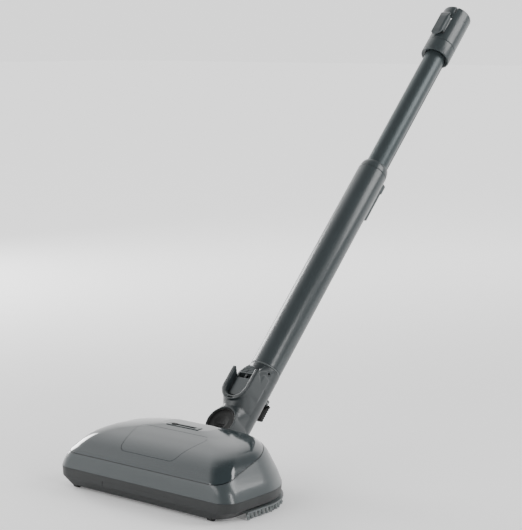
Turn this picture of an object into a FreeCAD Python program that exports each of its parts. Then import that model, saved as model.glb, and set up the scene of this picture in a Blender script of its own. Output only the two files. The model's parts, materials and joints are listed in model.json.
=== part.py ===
import FreeCAD, Part
import math
import os

from FreeCAD import Vector

# Carpet power head with a pitching neck and a telescopic wand.
# Millimetres. While it is built: X is right, -Y is the front, Z is up, the floor is Z = 0, and
# Y = 0 is the head's rear wall. The whole assembly is moved along Y at the end, so that the
# origin lies on the floor under the middle of its overall box.

# ---- head: overall -------------------------------------------------------------------------
HEAD_WIDTH = 360.0
HEAD_DEPTH = 190.0
BELT_LINE = 31.0            # height of the joint between base housing and middle shell
CREST = 101.5               # height of the hood's crest
WALL = 2.4                  # moulded walls
BASE_BOTTOM = 5.0
SOLE_THICK = 2.0
FRONT_CORNER = 27.0
REAR_CORNER = 100.0
HOOD_LINE_FRONT = 55.0      # height of the hood's edge at the front wall
HOOD_LINE_RISE = 0.2        # rise of the hood's edge per mm towards the rear
SEAM = 0.35                 # gap between neighbouring covers
RUN = 0.05                  # radial clearance of a shaft or pin that turns or slides in its hole
CLEAR = 0.4                 # clearance between parts that only pass each other

HALF_W = HEAD_WIDTH / 2.0
FRONT_Y = -HEAD_DEPTH
REAR_Y = 0.0

# ---- wand and neck ---------------------------------------------------------------------------
WAND_ANGLE = 45.8           # degrees above the floor at rest
PIVOT_Y = 2.0
PIVOT_Z = 41.9
BARREL_R = 27.0
BARREL_HALF = 30.0
TRUNNION_R = 9.0
EAR_IN = BARREL_HALF + 3.5
EAR_THICK = 11.0
NECK_R = 27.0
NECK_TOP = 160.0
NECK_BORE_R = 24.0
BULGE_R = 28.5
BULGE_FRONT = 37.0
BULGE_AT = 37.0
CRADLE_HALF = 27.5
CRADLE_FRONT = 45.0
CRADLE_LOW = 75.0
CRADLE_HIGH = 138.0
CRADLE_RIM = 8.0
CRADLE_FLOOR = 32.0
SPIGOT_LOW = 122.0
LOWER_R = 26.5
LOWER_WALL = 2.0
LOWER_TOP = 586.0
SHOULDER_TOP = 601.0
UPPER_R = 19.0
UPPER_WALL = 1.0
UPPER_LOW = 455.0
UPPER_TOP = 905.0
RAIL_HALF = 8.0
RAIL_OUT = 22.8
COLLAR_LOW = 865.0
COLLAR_SEAM = 893.0
COLLAR_TOP = 972.0
COLLAR_R = 27.2
SOCKET_R = 20.5
SOCKET_DEPTH = 60.0

# ---- inner works -----------------------------------------------------------------------------
ROLL_Y = FRONT_Y + 41.0
ROLL_Z = 25.0
ROLL_HALF = HALF_W - 32.0
ROLL_R = 16.0
BRISTLE_R = 23.5
ROLL_SHAFT_R = 4.0
SLOT_HALF_X = HALF_W - 28.0
SLOT_FRONT = ROLL_Y - 26.0
SLOT_REAR = ROLL_Y + 33.0
CHAMBER_R = 28.0
BELT_X = 44.0 - HALF_W
BELT_WIDTH = 8.0
BELT_THICK = 1.6
ROLL_PULLEY_R = 14.0
MOTOR_PULLEY_R = 7.0
MOTOR_Y = FRONT_Y + 116.0
MOTOR_Z = 47.0
MOTOR_R = 25.0
MOTOR_FROM = 58.0 - HALF_W
MOTOR_TO = MOTOR_FROM + 82.0
DUCT_HALF = 28.0
DUCT_LOW = 12.0
DUCT_HIGH = 38.0
WHEEL_X = 72.0
WHEEL_Y = -3.0
WHEEL_R = 15.0
WHEEL_WIDTH = 12.0
WHEEL_PIN_R = 2.5
ROLLER_X = HALF_W - 40.0
ROLLER_R = 5.5
ROLLER_WIDTH = 9.0
ROLLER_PIN_R = 1.2
SKIRT_TOP = 12.5
SKIRT_THICK = 2.5
SKIRT_FRONT_Y = FRONT_Y + 44.0
TUFT_R = 3.5
TUFT_PITCH = 8.6

# ---- head: covers and small features ---------------------------------------------------------
PLATE_HALF = 76.0
PLATE_LOW = 14.0
PLATE_HIGH = 23.0
PANEL_FRONT = FRONT_Y + 19.0
PANEL_REAR = FRONT_Y + 87.0
PANEL_FRONT_HALF = 56.0
PANEL_REAR_HALF = 75.0
PANEL_DEPTH = 1.0
BEZEL_Y = FRONT_Y + 106.0
BEZEL_HALF_X = 33.0
BEZEL_HALF_Y = 6.0
SLIDER_TRAVEL = 40.0
SLIDER_HALF = 4.0
BEARING_R = 8.0
SCREW_R = 1.5
SCREW_LENGTH = 12.0
SOLE_SCREWS = [(sx * x, y) for sx in (-1, 1)
               for x, y in ((100.0, REAR_Y - 106.0), (40.0, REAR_Y - 106.0),
                            (HALF_W - 45.0, REAR_Y - 62.0))]
NECK_NOTCH_HALF = BARREL_HALF + 4.0
NECK_NOTCH_FRONT = -33.0
EAR_OUT = EAR_IN + EAR_THICK
EAR_R = TRUNNION_R + 5.0
WHEEL_WELL = 3.0

# ---- neck controls, telescope lock and collar latch ------------------------------------------
SPLIT_Y = 9.0
PEDAL_R = 25.0
PEDAL_REST = 31.0
PEDAL_THICK = 3.0
BUTTON_HALF = 14.0
BUTTON_LOW = 130.0
BUTTON_HIGH = 146.0
BUTTON_FRONT = 37.0
LEVER_PIN_Y = 33.0
LEVER_PIN_S = 120.0
LEVER_PIN_R = 1.6
LOCK_LOW = 505.0
LOCK_HIGH = 570.0
LOCK_HALF = 14.0
LOCK_OUT = 32.5
LATCH_HALF = 11.0
LATCH_LOW = 897.0
LATCH_HIGH = 953.0

# Joint travels that shape the parts.
BUTTON_TRAVEL = 5.0
PEDAL_TRAVEL = 3.0
LATCH_TRAVEL = 3.0
LOCK_TRAVEL = 6.0

X_AXIS = Vector(1, 0, 0)
Y_AXIS = Vector(0, 1, 0)
Z_AXIS = Vector(0, 0, 1)
PARTS = {}


# ---- plain helpers ---------------------------------------------------------------------------
def block(x0, x1, y0, y1, z0, z1):
    """A box between two corners."""
    return Part.makeBox(x1 - x0, y1 - y0, z1 - z0, Vector(x0, y0, z0))


def rod(radius, start, axis, length):
    """A cylinder from a start point along an axis."""
    return Part.makeCylinder(radius, length, start, axis)


def rod_x(radius, x0, x1, y, z):
    return rod(radius, Vector(x0, y, z), X_AXIS, x1 - x0)


def prism(points, direction):
    """A closed polygon pushed along a direction."""
    wire = Part.makePolygon(points + [points[0]])
    return Part.Face(wire).extrude(direction)


def fuse(shapes):
    result = shapes[0]
    for shape in shapes[1:]:
        result = result.fuse(shape)
    return result.removeSplitter()


def cut(shape, tools):
    for tool in tools:
        shape = shape.cut(tool)
    return shape


def both_sides(shape):
    """A shape and its mirror image in the plane X = 0."""
    return [shape, shape.mirror(Vector(0, 0, 0), X_AXIS)]


def along_wand(shape):
    """From wand coordinates (X right, Y rearwards, Z up the wand from the pivot) to the floor's."""
    placed = shape.copy()
    placed.rotate(Vector(0, 0, 0), X_AXIS, WAND_ANGLE - 90.0)
    placed.translate(Vector(0, PIVOT_Y, PIVOT_Z))
    return placed


def add(node, shapes):
    """Files solids under a node's name."""
    solids = []
    for shape in shapes if isinstance(shapes, list) else [shapes]:
        solids.extend(shape.Solids)
    PARTS[node] = solids


def add_wand(node, shapes):
    add(node, [along_wand(s) for s in (shapes if isinstance(shapes, list) else [shapes])])


def coil(radius, wire, length, turns):
    """An open coil spring standing on the origin along Z."""
    helix = Part.Wire(Part.makeHelix(length / turns, length, radius))
    ring = Part.Wire(Part.makeCircle(wire, Vector(radius, 0, 0), Y_AXIS))
    return helix.makePipeShell([ring], True, True)


# ---- the head's outer form -------------------------------------------------------------------
def plan(z, side, front, rear):
    """The head's outline at one height, drawn in from the belt line's by three insets."""
    half = HALF_W - side
    y0 = FRONT_Y + front
    y1 = REAR_Y - rear
    depth = y1 - y0
    rf = min(FRONT_CORNER, 0.42 * depth, 0.6 * half)
    rr = min(REAR_CORNER, 0.53 * depth, 0.8 * half)
    k = math.sqrt(0.5)

    def arc(cx, cy, r, a, b, c, d, e, f):
        return Part.Arc(Vector(cx + r * a, cy + r * b, z), Vector(cx + r * c, cy + r * d, z),
                        Vector(cx + r * e, cy + r * f, z)).toShape()

    def line(xa, ya, xb, yb):
        return Part.makeLine(Vector(xa, ya, z), Vector(xb, yb, z))

    return Part.Wire([
        line(-(half - rf), y0, half - rf, y0),
        arc(half - rf, y0 + rf, rf, 0, -1, k, -k, 1, 0),
        line(half, y0 + rf, half, y1 - rr),
        arc(half - rr, y1 - rr, rr, 1, 0, k, k, 0, 1),
        line(half - rr, y1, -(half - rr), y1),
        arc(-(half - rr), y1 - rr, rr, 0, 1, -k, k, -1, 0),
        line(-half, y1 - rr, -half, y0 + rf),
        arc(-(half - rf), y0 + rf, rf, -1, 0, -k, -k, 0, -1),
    ])


def dome(offset):
    """The head above the belt line, drawn in evenly by an offset."""
    # Height above the belt line, then how far the side, front and rear have drawn in there.
    steps = [(0, 0, 0, 0), (14, 7, 2, 2), (26, 15, 5.5, 4), (35, 21, 13, 7), (45.5, 29, 24, 12),
             (54, 39, 40, 20), (61, 58, 62, 30), (66, 95, 84, 41), (CREST - BELT_LINE, 140, 104, 56)]
    rings = []
    for rise, side, front, rear in steps:
        lower = offset * rise / (CREST - BELT_LINE)
        rings.append(plan(BELT_LINE + rise - lower, side + offset, front + offset, rear + offset))
    return Part.makeLoft(rings, True, False)


def tub(offset):
    """The head below the belt line: upright walls that chamfer in to the bottom."""
    rings = [plan(BASE_BOTTOM, 16 + offset, 3 + offset, 10 + offset),
             plan(16.0, 1 + offset, 0.5 + offset, 1 + offset),
             plan(BELT_LINE, offset, offset, offset)]
    return Part.makeLoft(rings, True, True)


def hood_line_wedge(gap):
    """Everything above the sloping plane that parts the hood from the middle shell."""
    y0, y1 = FRONT_Y - 20.0, REAR_Y + 40.0
    z0 = HOOD_LINE_FRONT + gap + (y0 - FRONT_Y) * HOOD_LINE_RISE
    z1 = HOOD_LINE_FRONT + gap + (y1 - FRONT_Y) * HOOD_LINE_RISE
    points = [Vector(-HEAD_WIDTH, y0, z0), Vector(-HEAD_WIDTH, y1, z1),
              Vector(-HEAD_WIDTH, y1, 3 * CREST), Vector(-HEAD_WIDTH, y0, 3 * CREST)]
    return prism(points, Vector(2 * HEAD_WIDTH, 0, 0))


def neck_notch(z0, z1):
    """The space at the rear that the neck swings in."""
    return block(-NECK_NOTCH_HALF, NECK_NOTCH_HALF, NECK_NOTCH_FRONT, REAR_Y + 40, z0, z1)


def ear_space(x_gap):
    """Room round both pivot ears."""
    return both_sides(block(EAR_IN - x_gap, EAR_OUT + x_gap, PIVOT_Y - EAR_R - 5, REAR_Y + 40,
                            BELT_LINE - 1, PIVOT_Z + EAR_R + 3))


def wheel_wells():
    half = WHEEL_WIDTH / 2 + 2
    return both_sides(block(WHEEL_X - half, WHEEL_X + half, WHEEL_Y - WHEEL_R - WHEEL_WELL,
                            REAR_Y + 20, -5, WHEEL_R * 2 + WHEEL_WELL))


def roller_wells():
    half = ROLLER_WIDTH / 2 + 1
    y = roller_y()
    return both_sides(block(ROLLER_X - half, ROLLER_X + half, y - ROLLER_R - 0.6,
                            y + ROLLER_R + 0.6, -5, 2 * ROLLER_R + 1.5))


def roller_y():
    """The front rollers sit between the front wall and the brush slot."""
    return (FRONT_Y + 4.5 + SLOT_FRONT) / 2.0


def brush_slot(z0, z1):
    return block(-SLOT_HALF_X, SLOT_HALF_X, SLOT_FRONT, SLOT_REAR, z0, z1)


# ---- head: casings ---------------------------------------------------------------------------


def base_housing():
    solid = tub(0).cut(tub(WALL).common(block(-HEAD_WIDTH, HEAD_WIDTH, -2 * HEAD_DEPTH, HEAD_DEPTH,
                                              BASE_BOTTOM + WALL, BELT_LINE + 1)))
    inner = WHEEL_X - WHEEL_WIDTH / 2 - 2
    outer = WHEEL_X + WHEEL_WIDTH / 2 + 2
    posts = []
    for x in (inner - 5, outer):
        posts += both_sides(block(x, x + 5, WHEEL_Y - WHEEL_R - WHEEL_WELL, REAR_Y - 2.5,
                                  BASE_BOTTOM, 2 * WHEEL_R + WHEEL_WELL - 2))
    ears = both_sides(rod_x(EAR_R, EAR_IN, EAR_OUT, PIVOT_Y, PIVOT_Z).fuse(
        block(EAR_IN, EAR_OUT, PIVOT_Y - EAR_R, PIVOT_Y + EAR_R, BASE_BOTTOM + 8, PIVOT_Z)))
    webs = both_sides(block(EAR_IN, EAR_OUT, PIVOT_Y - EAR_R - 20, REAR_Y - 1, BASE_BOTTOM,
                            PIVOT_Z - 8))
    roller_blocks = both_sides(block(ROLLER_X - 10, ROLLER_X + 10, roller_y() - 7,
                                     SLOT_FRONT - 0.01, BASE_BOTTOM, 2 * ROLLER_R + 4))
    bearing_posts = both_sides(block(ROLL_HALF + 6, ROLL_HALF + 12, ROLL_Y - 10, ROLL_Y + 10,
                                     BASE_BOTTOM, ROLL_Z + 2))
    inside = [shape.common(tub(0)) for shape in posts + webs + roller_blocks]
    solid = fuse([solid] + inside + ears + bearing_posts)
    roll_seat = rod_x(BEARING_R, -ROLL_HALF - 12, ROLL_HALF + 12, ROLL_Y, ROLL_Z)
    trunnion_bores = rod_x(TRUNNION_R + RUN, -EAR_OUT - 1, EAR_OUT + 1, PIVOT_Y, PIVOT_Z)
    ear_tops = both_sides(block(EAR_IN - 1, EAR_OUT + 1, PIVOT_Y - EAR_R - 1,
                                PIVOT_Y + EAR_R + 1, PIVOT_Z, PIVOT_Z + EAR_R + 1))
    wheel_bore = both_sides(rod_x(WHEEL_PIN_R, inner - 4, outer + 4, WHEEL_Y - 0, WHEEL_R))
    roller_bore = both_sides(rod_x(ROLLER_PIN_R, ROLLER_X - 8, ROLLER_X + 8, roller_y(), ROLLER_R))
    tools = [brush_slot(-5, BASE_BOTTOM + 3 * WALL), roll_seat, trunnion_bores]
    tools += [block(-NECK_NOTCH_HALF, NECK_NOTCH_HALF, PIVOT_Y - BARREL_R - 1, REAR_Y + 60,
                    BASE_BOTTOM + WALL, 90)]
    tools += ear_tops + wheel_wells() + roller_wells() + wheel_bore + roller_bore
    tools += [block(-PLATE_HALF, PLATE_HALF, FRONT_Y - 5, FRONT_Y + 1.4, PLATE_LOW, PLATE_HIGH)]
    for x, y in SOLE_SCREWS:
        tools.append(rod(SCREW_R, Vector(x, y, 0), Z_AXIS, SCREW_LENGTH + 4))
    add("base_housing", cut(solid, tools))


def screw_bosses():
    """Posts inside the base that the sole screws cut their thread in."""
    posts = []
    for x, y in SOLE_SCREWS:
        post = rod(4.0, Vector(x, y, BASE_BOTTOM + WALL), Z_AXIS, SCREW_LENGTH)
        posts.append(post.cut(rod(SCREW_R, Vector(x, y, 0), Z_AXIS, SCREW_LENGTH + 4)))
    add("screw_bosses", posts)


def sole_plate():
    low = plan(BASE_BOTTOM - SOLE_THICK, 19, 6, 13)
    plate = Part.Face(low).extrude(Vector(0, 0, SOLE_THICK))
    plate = plate.common(block(-HEAD_WIDTH, HEAD_WIDTH, SLOT_FRONT + 1, REAR_Y, -5, 20))
    tools = [brush_slot(-5, 20)] + wheel_wells()
    for x, y in SOLE_SCREWS:
        tools.append(rod(SCREW_R, Vector(x, y, 0), Z_AXIS, 10))
    add("sole_plate", cut(plate, tools))
    heads = []
    for x, y in SOLE_SCREWS:
        head = rod(3.2, Vector(x, y, BASE_BOTTOM - SOLE_THICK - 1.6), Z_AXIS, 1.6)
        shank = rod(SCREW_R, Vector(x, y, BASE_BOTTOM - SOLE_THICK), Z_AXIS, SCREW_LENGTH)
        heads.append(head.fuse(shank).removeSplitter())
    add("sole_screws", heads)


def dome_cuts():
    return [neck_notch(BELT_LINE - 1, 2 * CREST)] + ear_space(2.0)


def middle_shell():
    shell = dome(0).cut(dome(WALL))
    shell = shell.cut(hood_line_wedge(-SEAM))
    shell = shell.cut(block(-HEAD_WIDTH, HEAD_WIDTH, -300, 100, 0, BELT_LINE + SEAM))
    add("middle_shell", cut(shell, dome_cuts()))


def panel_prism(margin):
    """The hood panel's outline, a trapezium that widens to the rear, pushed up."""
    a = PANEL_FRONT_HALF + margin
    b = PANEL_REAR_HALF + margin
    points = [Vector(-a, PANEL_FRONT - margin, 0), Vector(a, PANEL_FRONT - margin, 0),
              Vector(b, PANEL_REAR + margin, 0), Vector(-b, PANEL_REAR + margin, 0)]
    body = prism(points, Vector(0, 0, 2 * CREST))
    upright = [e for e in body.Edges if abs(e.BoundBox.XLength) < 0.01
               and abs(e.BoundBox.YLength) < 0.01]
    return body.makeFillet(11.0 + margin, upright)


def hood():
    full = dome(0).cut(dome(WALL)).common(hood_line_wedge(0))
    panel_skin = dome(0).cut(dome(PANEL_DEPTH)).common(panel_prism(0))
    pocket = dome(-1).cut(dome(PANEL_DEPTH + 0.1)).common(panel_prism(0.25))
    slot = block(-BEZEL_HALF_X, BEZEL_HALF_X, BEZEL_Y - BEZEL_HALF_Y, BEZEL_Y + BEZEL_HALF_Y,
                 BELT_LINE, 2 * CREST)
    add("hood_cover", cut(full, dome_cuts() + [pocket, slot]))
    add("hood_panel", panel_skin)


def height_selector():
    low, high = CREST - 12.0, CREST + 0.8
    frame = block(-BEZEL_HALF_X + SEAM, BEZEL_HALF_X - SEAM, BEZEL_Y - BEZEL_HALF_Y + SEAM,
                  BEZEL_Y + BEZEL_HALF_Y - SEAM, low, high)
    reach = SLIDER_TRAVEL / 2 + SLIDER_HALF + CLEAR
    track = block(-reach, reach, BEZEL_Y - 3.0, BEZEL_Y + 3.0, low - 1, high + 1)
    groove = block(-reach, reach, BEZEL_Y - 4.6, BEZEL_Y + 4.6, low + 3.0, low + 6.0)
    lip = block(-BEZEL_HALF_X - 3, BEZEL_HALF_X + 3, BEZEL_Y - BEZEL_HALF_Y - 3,
                BEZEL_Y + BEZEL_HALF_Y + 3, low - 2, low).cut(track)
    add("height_bezel", cut(fuse([frame, lip]), [track, groove]))
    x = -SLIDER_TRAVEL / 2
    knob = block(x - SLIDER_HALF, x + SLIDER_HALF, BEZEL_Y - 2.7, BEZEL_Y + 2.7, low + 0.5, high + 1.0)
    foot = block(x - SLIDER_HALF, x + SLIDER_HALF, BEZEL_Y - 4.3, BEZEL_Y + 4.3, low + 3.3, low + 5.7)
    add("height_slider", fuse([knob, foot]))


def front_plate():
    plate = block(-PLATE_HALF + 0.3, PLATE_HALF - 0.3, FRONT_Y + 0.8, FRONT_Y + 1.39,
                  PLATE_LOW + 0.3, PLATE_HIGH - 0.3)
    add("front_plate", plate)


# ---- head: brush, belt and motor -------------------------------------------------------------
def brush_roll():
    core = rod_x(ROLL_R, -ROLL_HALF, ROLL_HALF, ROLL_Y, ROLL_Z)
    groove = rod_x(ROLL_R + 1, BELT_X - BELT_WIDTH / 2 - 2, BELT_X + BELT_WIDTH / 2 + 2, ROLL_Y,
                   ROLL_Z).cut(rod_x(8.0, -ROLL_HALF, ROLL_HALF, ROLL_Y, ROLL_Z))
    core = cut(core, [groove, rod_x(ROLL_SHAFT_R, -200, 200, ROLL_Y, ROLL_Z)])
    add("brush_core", core)
    add("brush_shaft", rod_x(ROLL_SHAFT_R, -ROLL_HALF - 9, ROLL_HALF + 9, ROLL_Y, ROLL_Z))
    pulley = rod_x(ROLL_PULLEY_R, BELT_X - BELT_WIDTH / 2, BELT_X + BELT_WIDTH / 2, ROLL_Y, ROLL_Z)
    add("brush_pulley", pulley.cut(rod_x(8.0, -200, 200, ROLL_Y, ROLL_Z)))
    bearings = [rod_x(BEARING_R, ROLL_HALF + 6, ROLL_HALF + 12, ROLL_Y, ROLL_Z)
                .cut(rod_x(ROLL_SHAFT_R + RUN, 0, 200, ROLL_Y, ROLL_Z))]
    bearings += [bearings[0].mirror(Vector(0, 0, 0), X_AXIS)]
    add("brush_bearings", bearings)
    tufts = []
    start = BELT_X + BELT_WIDTH / 2 + 8
    count = 23
    step = (ROLL_HALF - 5 - start) / (count - 1)
    for row in range(2):
        for i in range(count):
            angle = 180.0 * row + 300.0 * i / (count - 1)
            tuft = rod(2.2, Vector(start + i * step, 0, ROLL_R - 2), Z_AXIS, BRISTLE_R - ROLL_R + 1.9)
            tuft = tuft.cut(rod_x(ROLL_R, -200, 200, 0, 0))
            tuft.rotate(Vector(0, 0, 0), X_AXIS, angle)
            tuft.translate(Vector(0, ROLL_Y, ROLL_Z))
            tufts.append(tuft)
    add("brush_bristles", tufts)


def motor():
    can = rod_x(MOTOR_R, MOTOR_FROM, MOTOR_TO, MOTOR_Y, MOTOR_Z)
    bore = rod_x(2.5 + RUN, MOTOR_FROM - 1, MOTOR_TO - 8, MOTOR_Y, MOTOR_Z)
    add("motor_can", can.cut(bore))
    x0 = BELT_X - BELT_WIDTH / 2
    shaft = rod_x(2.5, x0, MOTOR_TO - 9, MOTOR_Y, MOTOR_Z)
    add("motor_shaft", shaft)
    pulley = rod_x(MOTOR_PULLEY_R, x0, x0 + BELT_WIDTH, MOTOR_Y, MOTOR_Z)
    add("motor_pulley", pulley.cut(shaft))
    floor = BASE_BOTTOM + WALL
    cradle = block(MOTOR_FROM + 8, MOTOR_TO - 8, MOTOR_Y - 18, MOTOR_Y + 18, floor, MOTOR_Z - 8)
    add("motor_cradle", cradle.cut(rod_x(MOTOR_R + 0.1, -200, 0, MOTOR_Y, MOTOR_Z)))


def belt_loop(extra):
    """The outline round both pulleys, grown by extra: two discs and the band between."""
    r1, r2 = ROLL_PULLEY_R + extra, MOTOR_PULLEY_R + extra
    x0 = BELT_X - BELT_WIDTH / 2
    dy, dz = MOTOR_Y - ROLL_Y, MOTOR_Z - ROLL_Z
    length = math.hypot(dy, dz)
    lean = math.atan2(dz, dy)
    open_angle = math.acos((r1 - r2) / length)
    points = []
    for cy, cz, r, side in ((ROLL_Y, ROLL_Z, r1, 1), (MOTOR_Y, MOTOR_Z, r2, 1),
                            (MOTOR_Y, MOTOR_Z, r2, -1), (ROLL_Y, ROLL_Z, r1, -1)):
        a = lean + side * open_angle
        points.append(Vector(x0, cy + r * math.cos(a), cz + r * math.sin(a)))
    band = prism(points, Vector(BELT_WIDTH, 0, 0))
    return band.fuse(rod_x(r1, x0, x0 + BELT_WIDTH, ROLL_Y, ROLL_Z)).fuse(
        rod_x(r2, x0, x0 + BELT_WIDTH, MOTOR_Y, MOTOR_Z))


def belt_and_chamber():
    add("drive_belt", belt_loop(CLEAR + BELT_THICK).cut(belt_loop(CLEAR)))
    x1 = SLOT_HALF_X - 3
    outer = rod_x(CHAMBER_R + 2, -x1, x1, ROLL_Y, ROLL_Z)
    floor = BASE_BOTTOM + WALL + 0.3
    rear = block(-x1, x1, ROLL_Y, SLOT_REAR + 2, floor, ROLL_Z + 8)
    hollow = rod_x(CHAMBER_R, -x1 - 1, x1 + 1, ROLL_Y, ROLL_Z).fuse(
        block(-x1 - 1, x1 + 1, ROLL_Y, SLOT_REAR, 0, ROLL_Z + 6))
    shell = outer.fuse(rear).cut(hollow)
    gap = BELT_WIDTH / 2 + 2
    belt_gap = block(BELT_X - gap, BELT_X + gap, ROLL_Y, 0, 0, 90)
    mouth = block(-DUCT_HALF, DUCT_HALF, SLOT_REAR - 1, SLOT_REAR + 3, DUCT_LOW + 2, DUCT_HIGH)
    below = block(-200, 200, -250, 0, -50, floor)
    front = block(-200, 200, 2 * FRONT_Y, ROLL_Y, 0, ROLL_Z - 6)
    add("brush_chamber", cut(shell, [belt_gap, mouth, below, front]))


def suction_duct():
    y0 = SLOT_REAR + 2
    y1 = PIVOT_Y - BARREL_R + 8
    top = ROLL_Z + 8
    outer = block(-DUCT_HALF, DUCT_HALF, y0, y1, DUCT_LOW, top)
    inner = block(-DUCT_HALF + 2, DUCT_HALF - 2, y0 - 1, y1 + 1, DUCT_LOW + 2, top - 2)
    barrel = rod_x(BARREL_R + CLEAR, -60, 60, PIVOT_Y, PIVOT_Z)
    foot = block(-8, 8, y0 + 10, y0 + 40, BASE_BOTTOM + WALL, DUCT_LOW)
    add("suction_duct", cut(outer.fuse(foot).removeSplitter(), [inner, barrel]))


def circuit_board():
    floor = BASE_BOTTOM + WALL
    board = block(52, 108, -100, -50, floor + 14, floor + 15.6)
    standoffs = [rod(3.0, Vector(x, y, floor), Z_AXIS, 14) for x in (57, 103) for y in (-95, -55)]
    parts = [block(60, 76, -90, -70, floor + 15.6, floor + 28),
             rod(5.0, Vector(92, -84, floor + 15.6), Z_AXIS, 16)]
    add("circuit_board", fuse([board] + parts))
    add("board_standoffs", standoffs)


# ---- head: wheels, rollers, skirt, pivot -----------------------------------------------------
def wheels():
    for name, sign in (("left", -1), ("right", 1)):
        x = sign * WHEEL_X
        wheel = rod_x(WHEEL_R, x - WHEEL_WIDTH / 2, x + WHEEL_WIDTH / 2, WHEEL_Y, WHEEL_R)
        wheel = wheel.makeChamfer(1.2, [e for e in wheel.Edges if e.Length > 60])
        add("rear_wheel_" + name, wheel.cut(rod_x(WHEEL_PIN_R + RUN, x - 20, x + 20, WHEEL_Y, WHEEL_R)))
        x = sign * ROLLER_X
        roller = rod_x(ROLLER_R, x - ROLLER_WIDTH / 2, x + ROLLER_WIDTH / 2, roller_y(), ROLLER_R)
        add("front_roller_" + name, roller.cut(
            rod_x(ROLLER_PIN_R + RUN, x - 20, x + 20, roller_y(), ROLLER_R)))
    reach = WHEEL_WIDTH / 2 + 6
    add("wheel_pins", both_sides(rod_x(WHEEL_PIN_R, WHEEL_X - reach, WHEEL_X + reach, WHEEL_Y, WHEEL_R)))
    add("roller_pins", both_sides(
        rod_x(ROLLER_PIN_R, ROLLER_X - 8, ROLLER_X + 8, roller_y(), ROLLER_R)))


def skirt_path(inset):
    """Points every tuft pitch round the sides and rear, from the right side to the left."""
    wire = plan(0, inset, inset, inset)
    points = wire.discretize(Distance=TUFT_PITCH)
    gap = WHEEL_WIDTH / 2 + 7
    return [p for p in points if p.y > SKIRT_FRONT_Y + TUFT_R and abs(abs(p.x) - WHEEL_X) > gap + 1]


def skirt():
    low = SKIRT_TOP - SKIRT_THICK
    ring = Part.Face(plan(low, -1.5, -1.5, -1.5)).extrude(Vector(0, 0, SKIRT_THICK))
    ring = ring.cut(tub(0)).cut(block(-300, 300, -300, SKIRT_FRONT_Y, 0, 50))
    gap = WHEEL_WIDTH / 2 + 5
    ring = cut(ring, both_sides(block(WHEEL_X - gap, WHEEL_X + gap, -30, 30, 0, 50)))
    add("skirt_carrier", ring)
    tufts = [rod(TUFT_R, Vector(p.x, p.y, 0.0), Z_AXIS, low) for p in skirt_path(2.6)]
    trim = tub(-0.05)
    add("skirt_tufts", [t.cut(trim) for t in tufts])


def pivot_caps():
    caps = []
    cap = rod_x(EAR_R, EAR_IN, EAR_OUT, PIVOT_Y, PIVOT_Z)
    cap = cap.common(block(0, 100, -60, 60, PIVOT_Z, PIVOT_Z + 40))
    cap = cap.cut(rod_x(TRUNNION_R + RUN, 0, 100, PIVOT_Y, PIVOT_Z))
    caps = both_sides(cap)
    add("pivot_caps", caps)


# ---- neck (wand coordinates: -Y is the wand's upper, front side) ------------------------------


def neck_outer():
    tube = rod(NECK_R, Vector(0, 0, 0), Z_AXIS, NECK_TOP)
    trunnions = rod_x(TRUNNION_R, 1 - EAR_OUT, EAR_OUT - 1, 0, 0)
    barrel = rod_x(BARREL_R, -BARREL_HALF, BARREL_HALF, 0, 0).fuse(trunnions)
    bulge = rod(BULGE_R, Vector(0, 0, BULGE_AT), Vector(0, -1, 0), BULGE_FRONT)
    bulge = bulge.makeFillet(2.0, [e for e in bulge.Edges if e.Length > 100
                                   and e.BoundBox.YMin < -BULGE_FRONT + 0.1
                                   and e.BoundBox.YLength < 0.1])
    center = CRADLE_LOW + CRADLE_HALF
    cradle = rod(CRADLE_HALF, Vector(0, -10, center), Vector(0, -1, 0), CRADLE_FRONT - 10)
    cradle = cradle.fuse(block(-CRADLE_HALF, CRADLE_HALF, -CRADLE_FRONT, -10, center, CRADLE_HIGH))
    slope = prism([Vector(-60, -CRADLE_FRONT - 1, CRADLE_HIGH), Vector(-60, -NECK_R + 1, 122),
                   Vector(-60, -NECK_R + 1, 200), Vector(-60, -CRADLE_FRONT - 1, 200)],
                  Vector(120, 0, 0))
    return barrel.fuse(tube).fuse(bulge).fuse(cradle.cut(slope))


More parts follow.
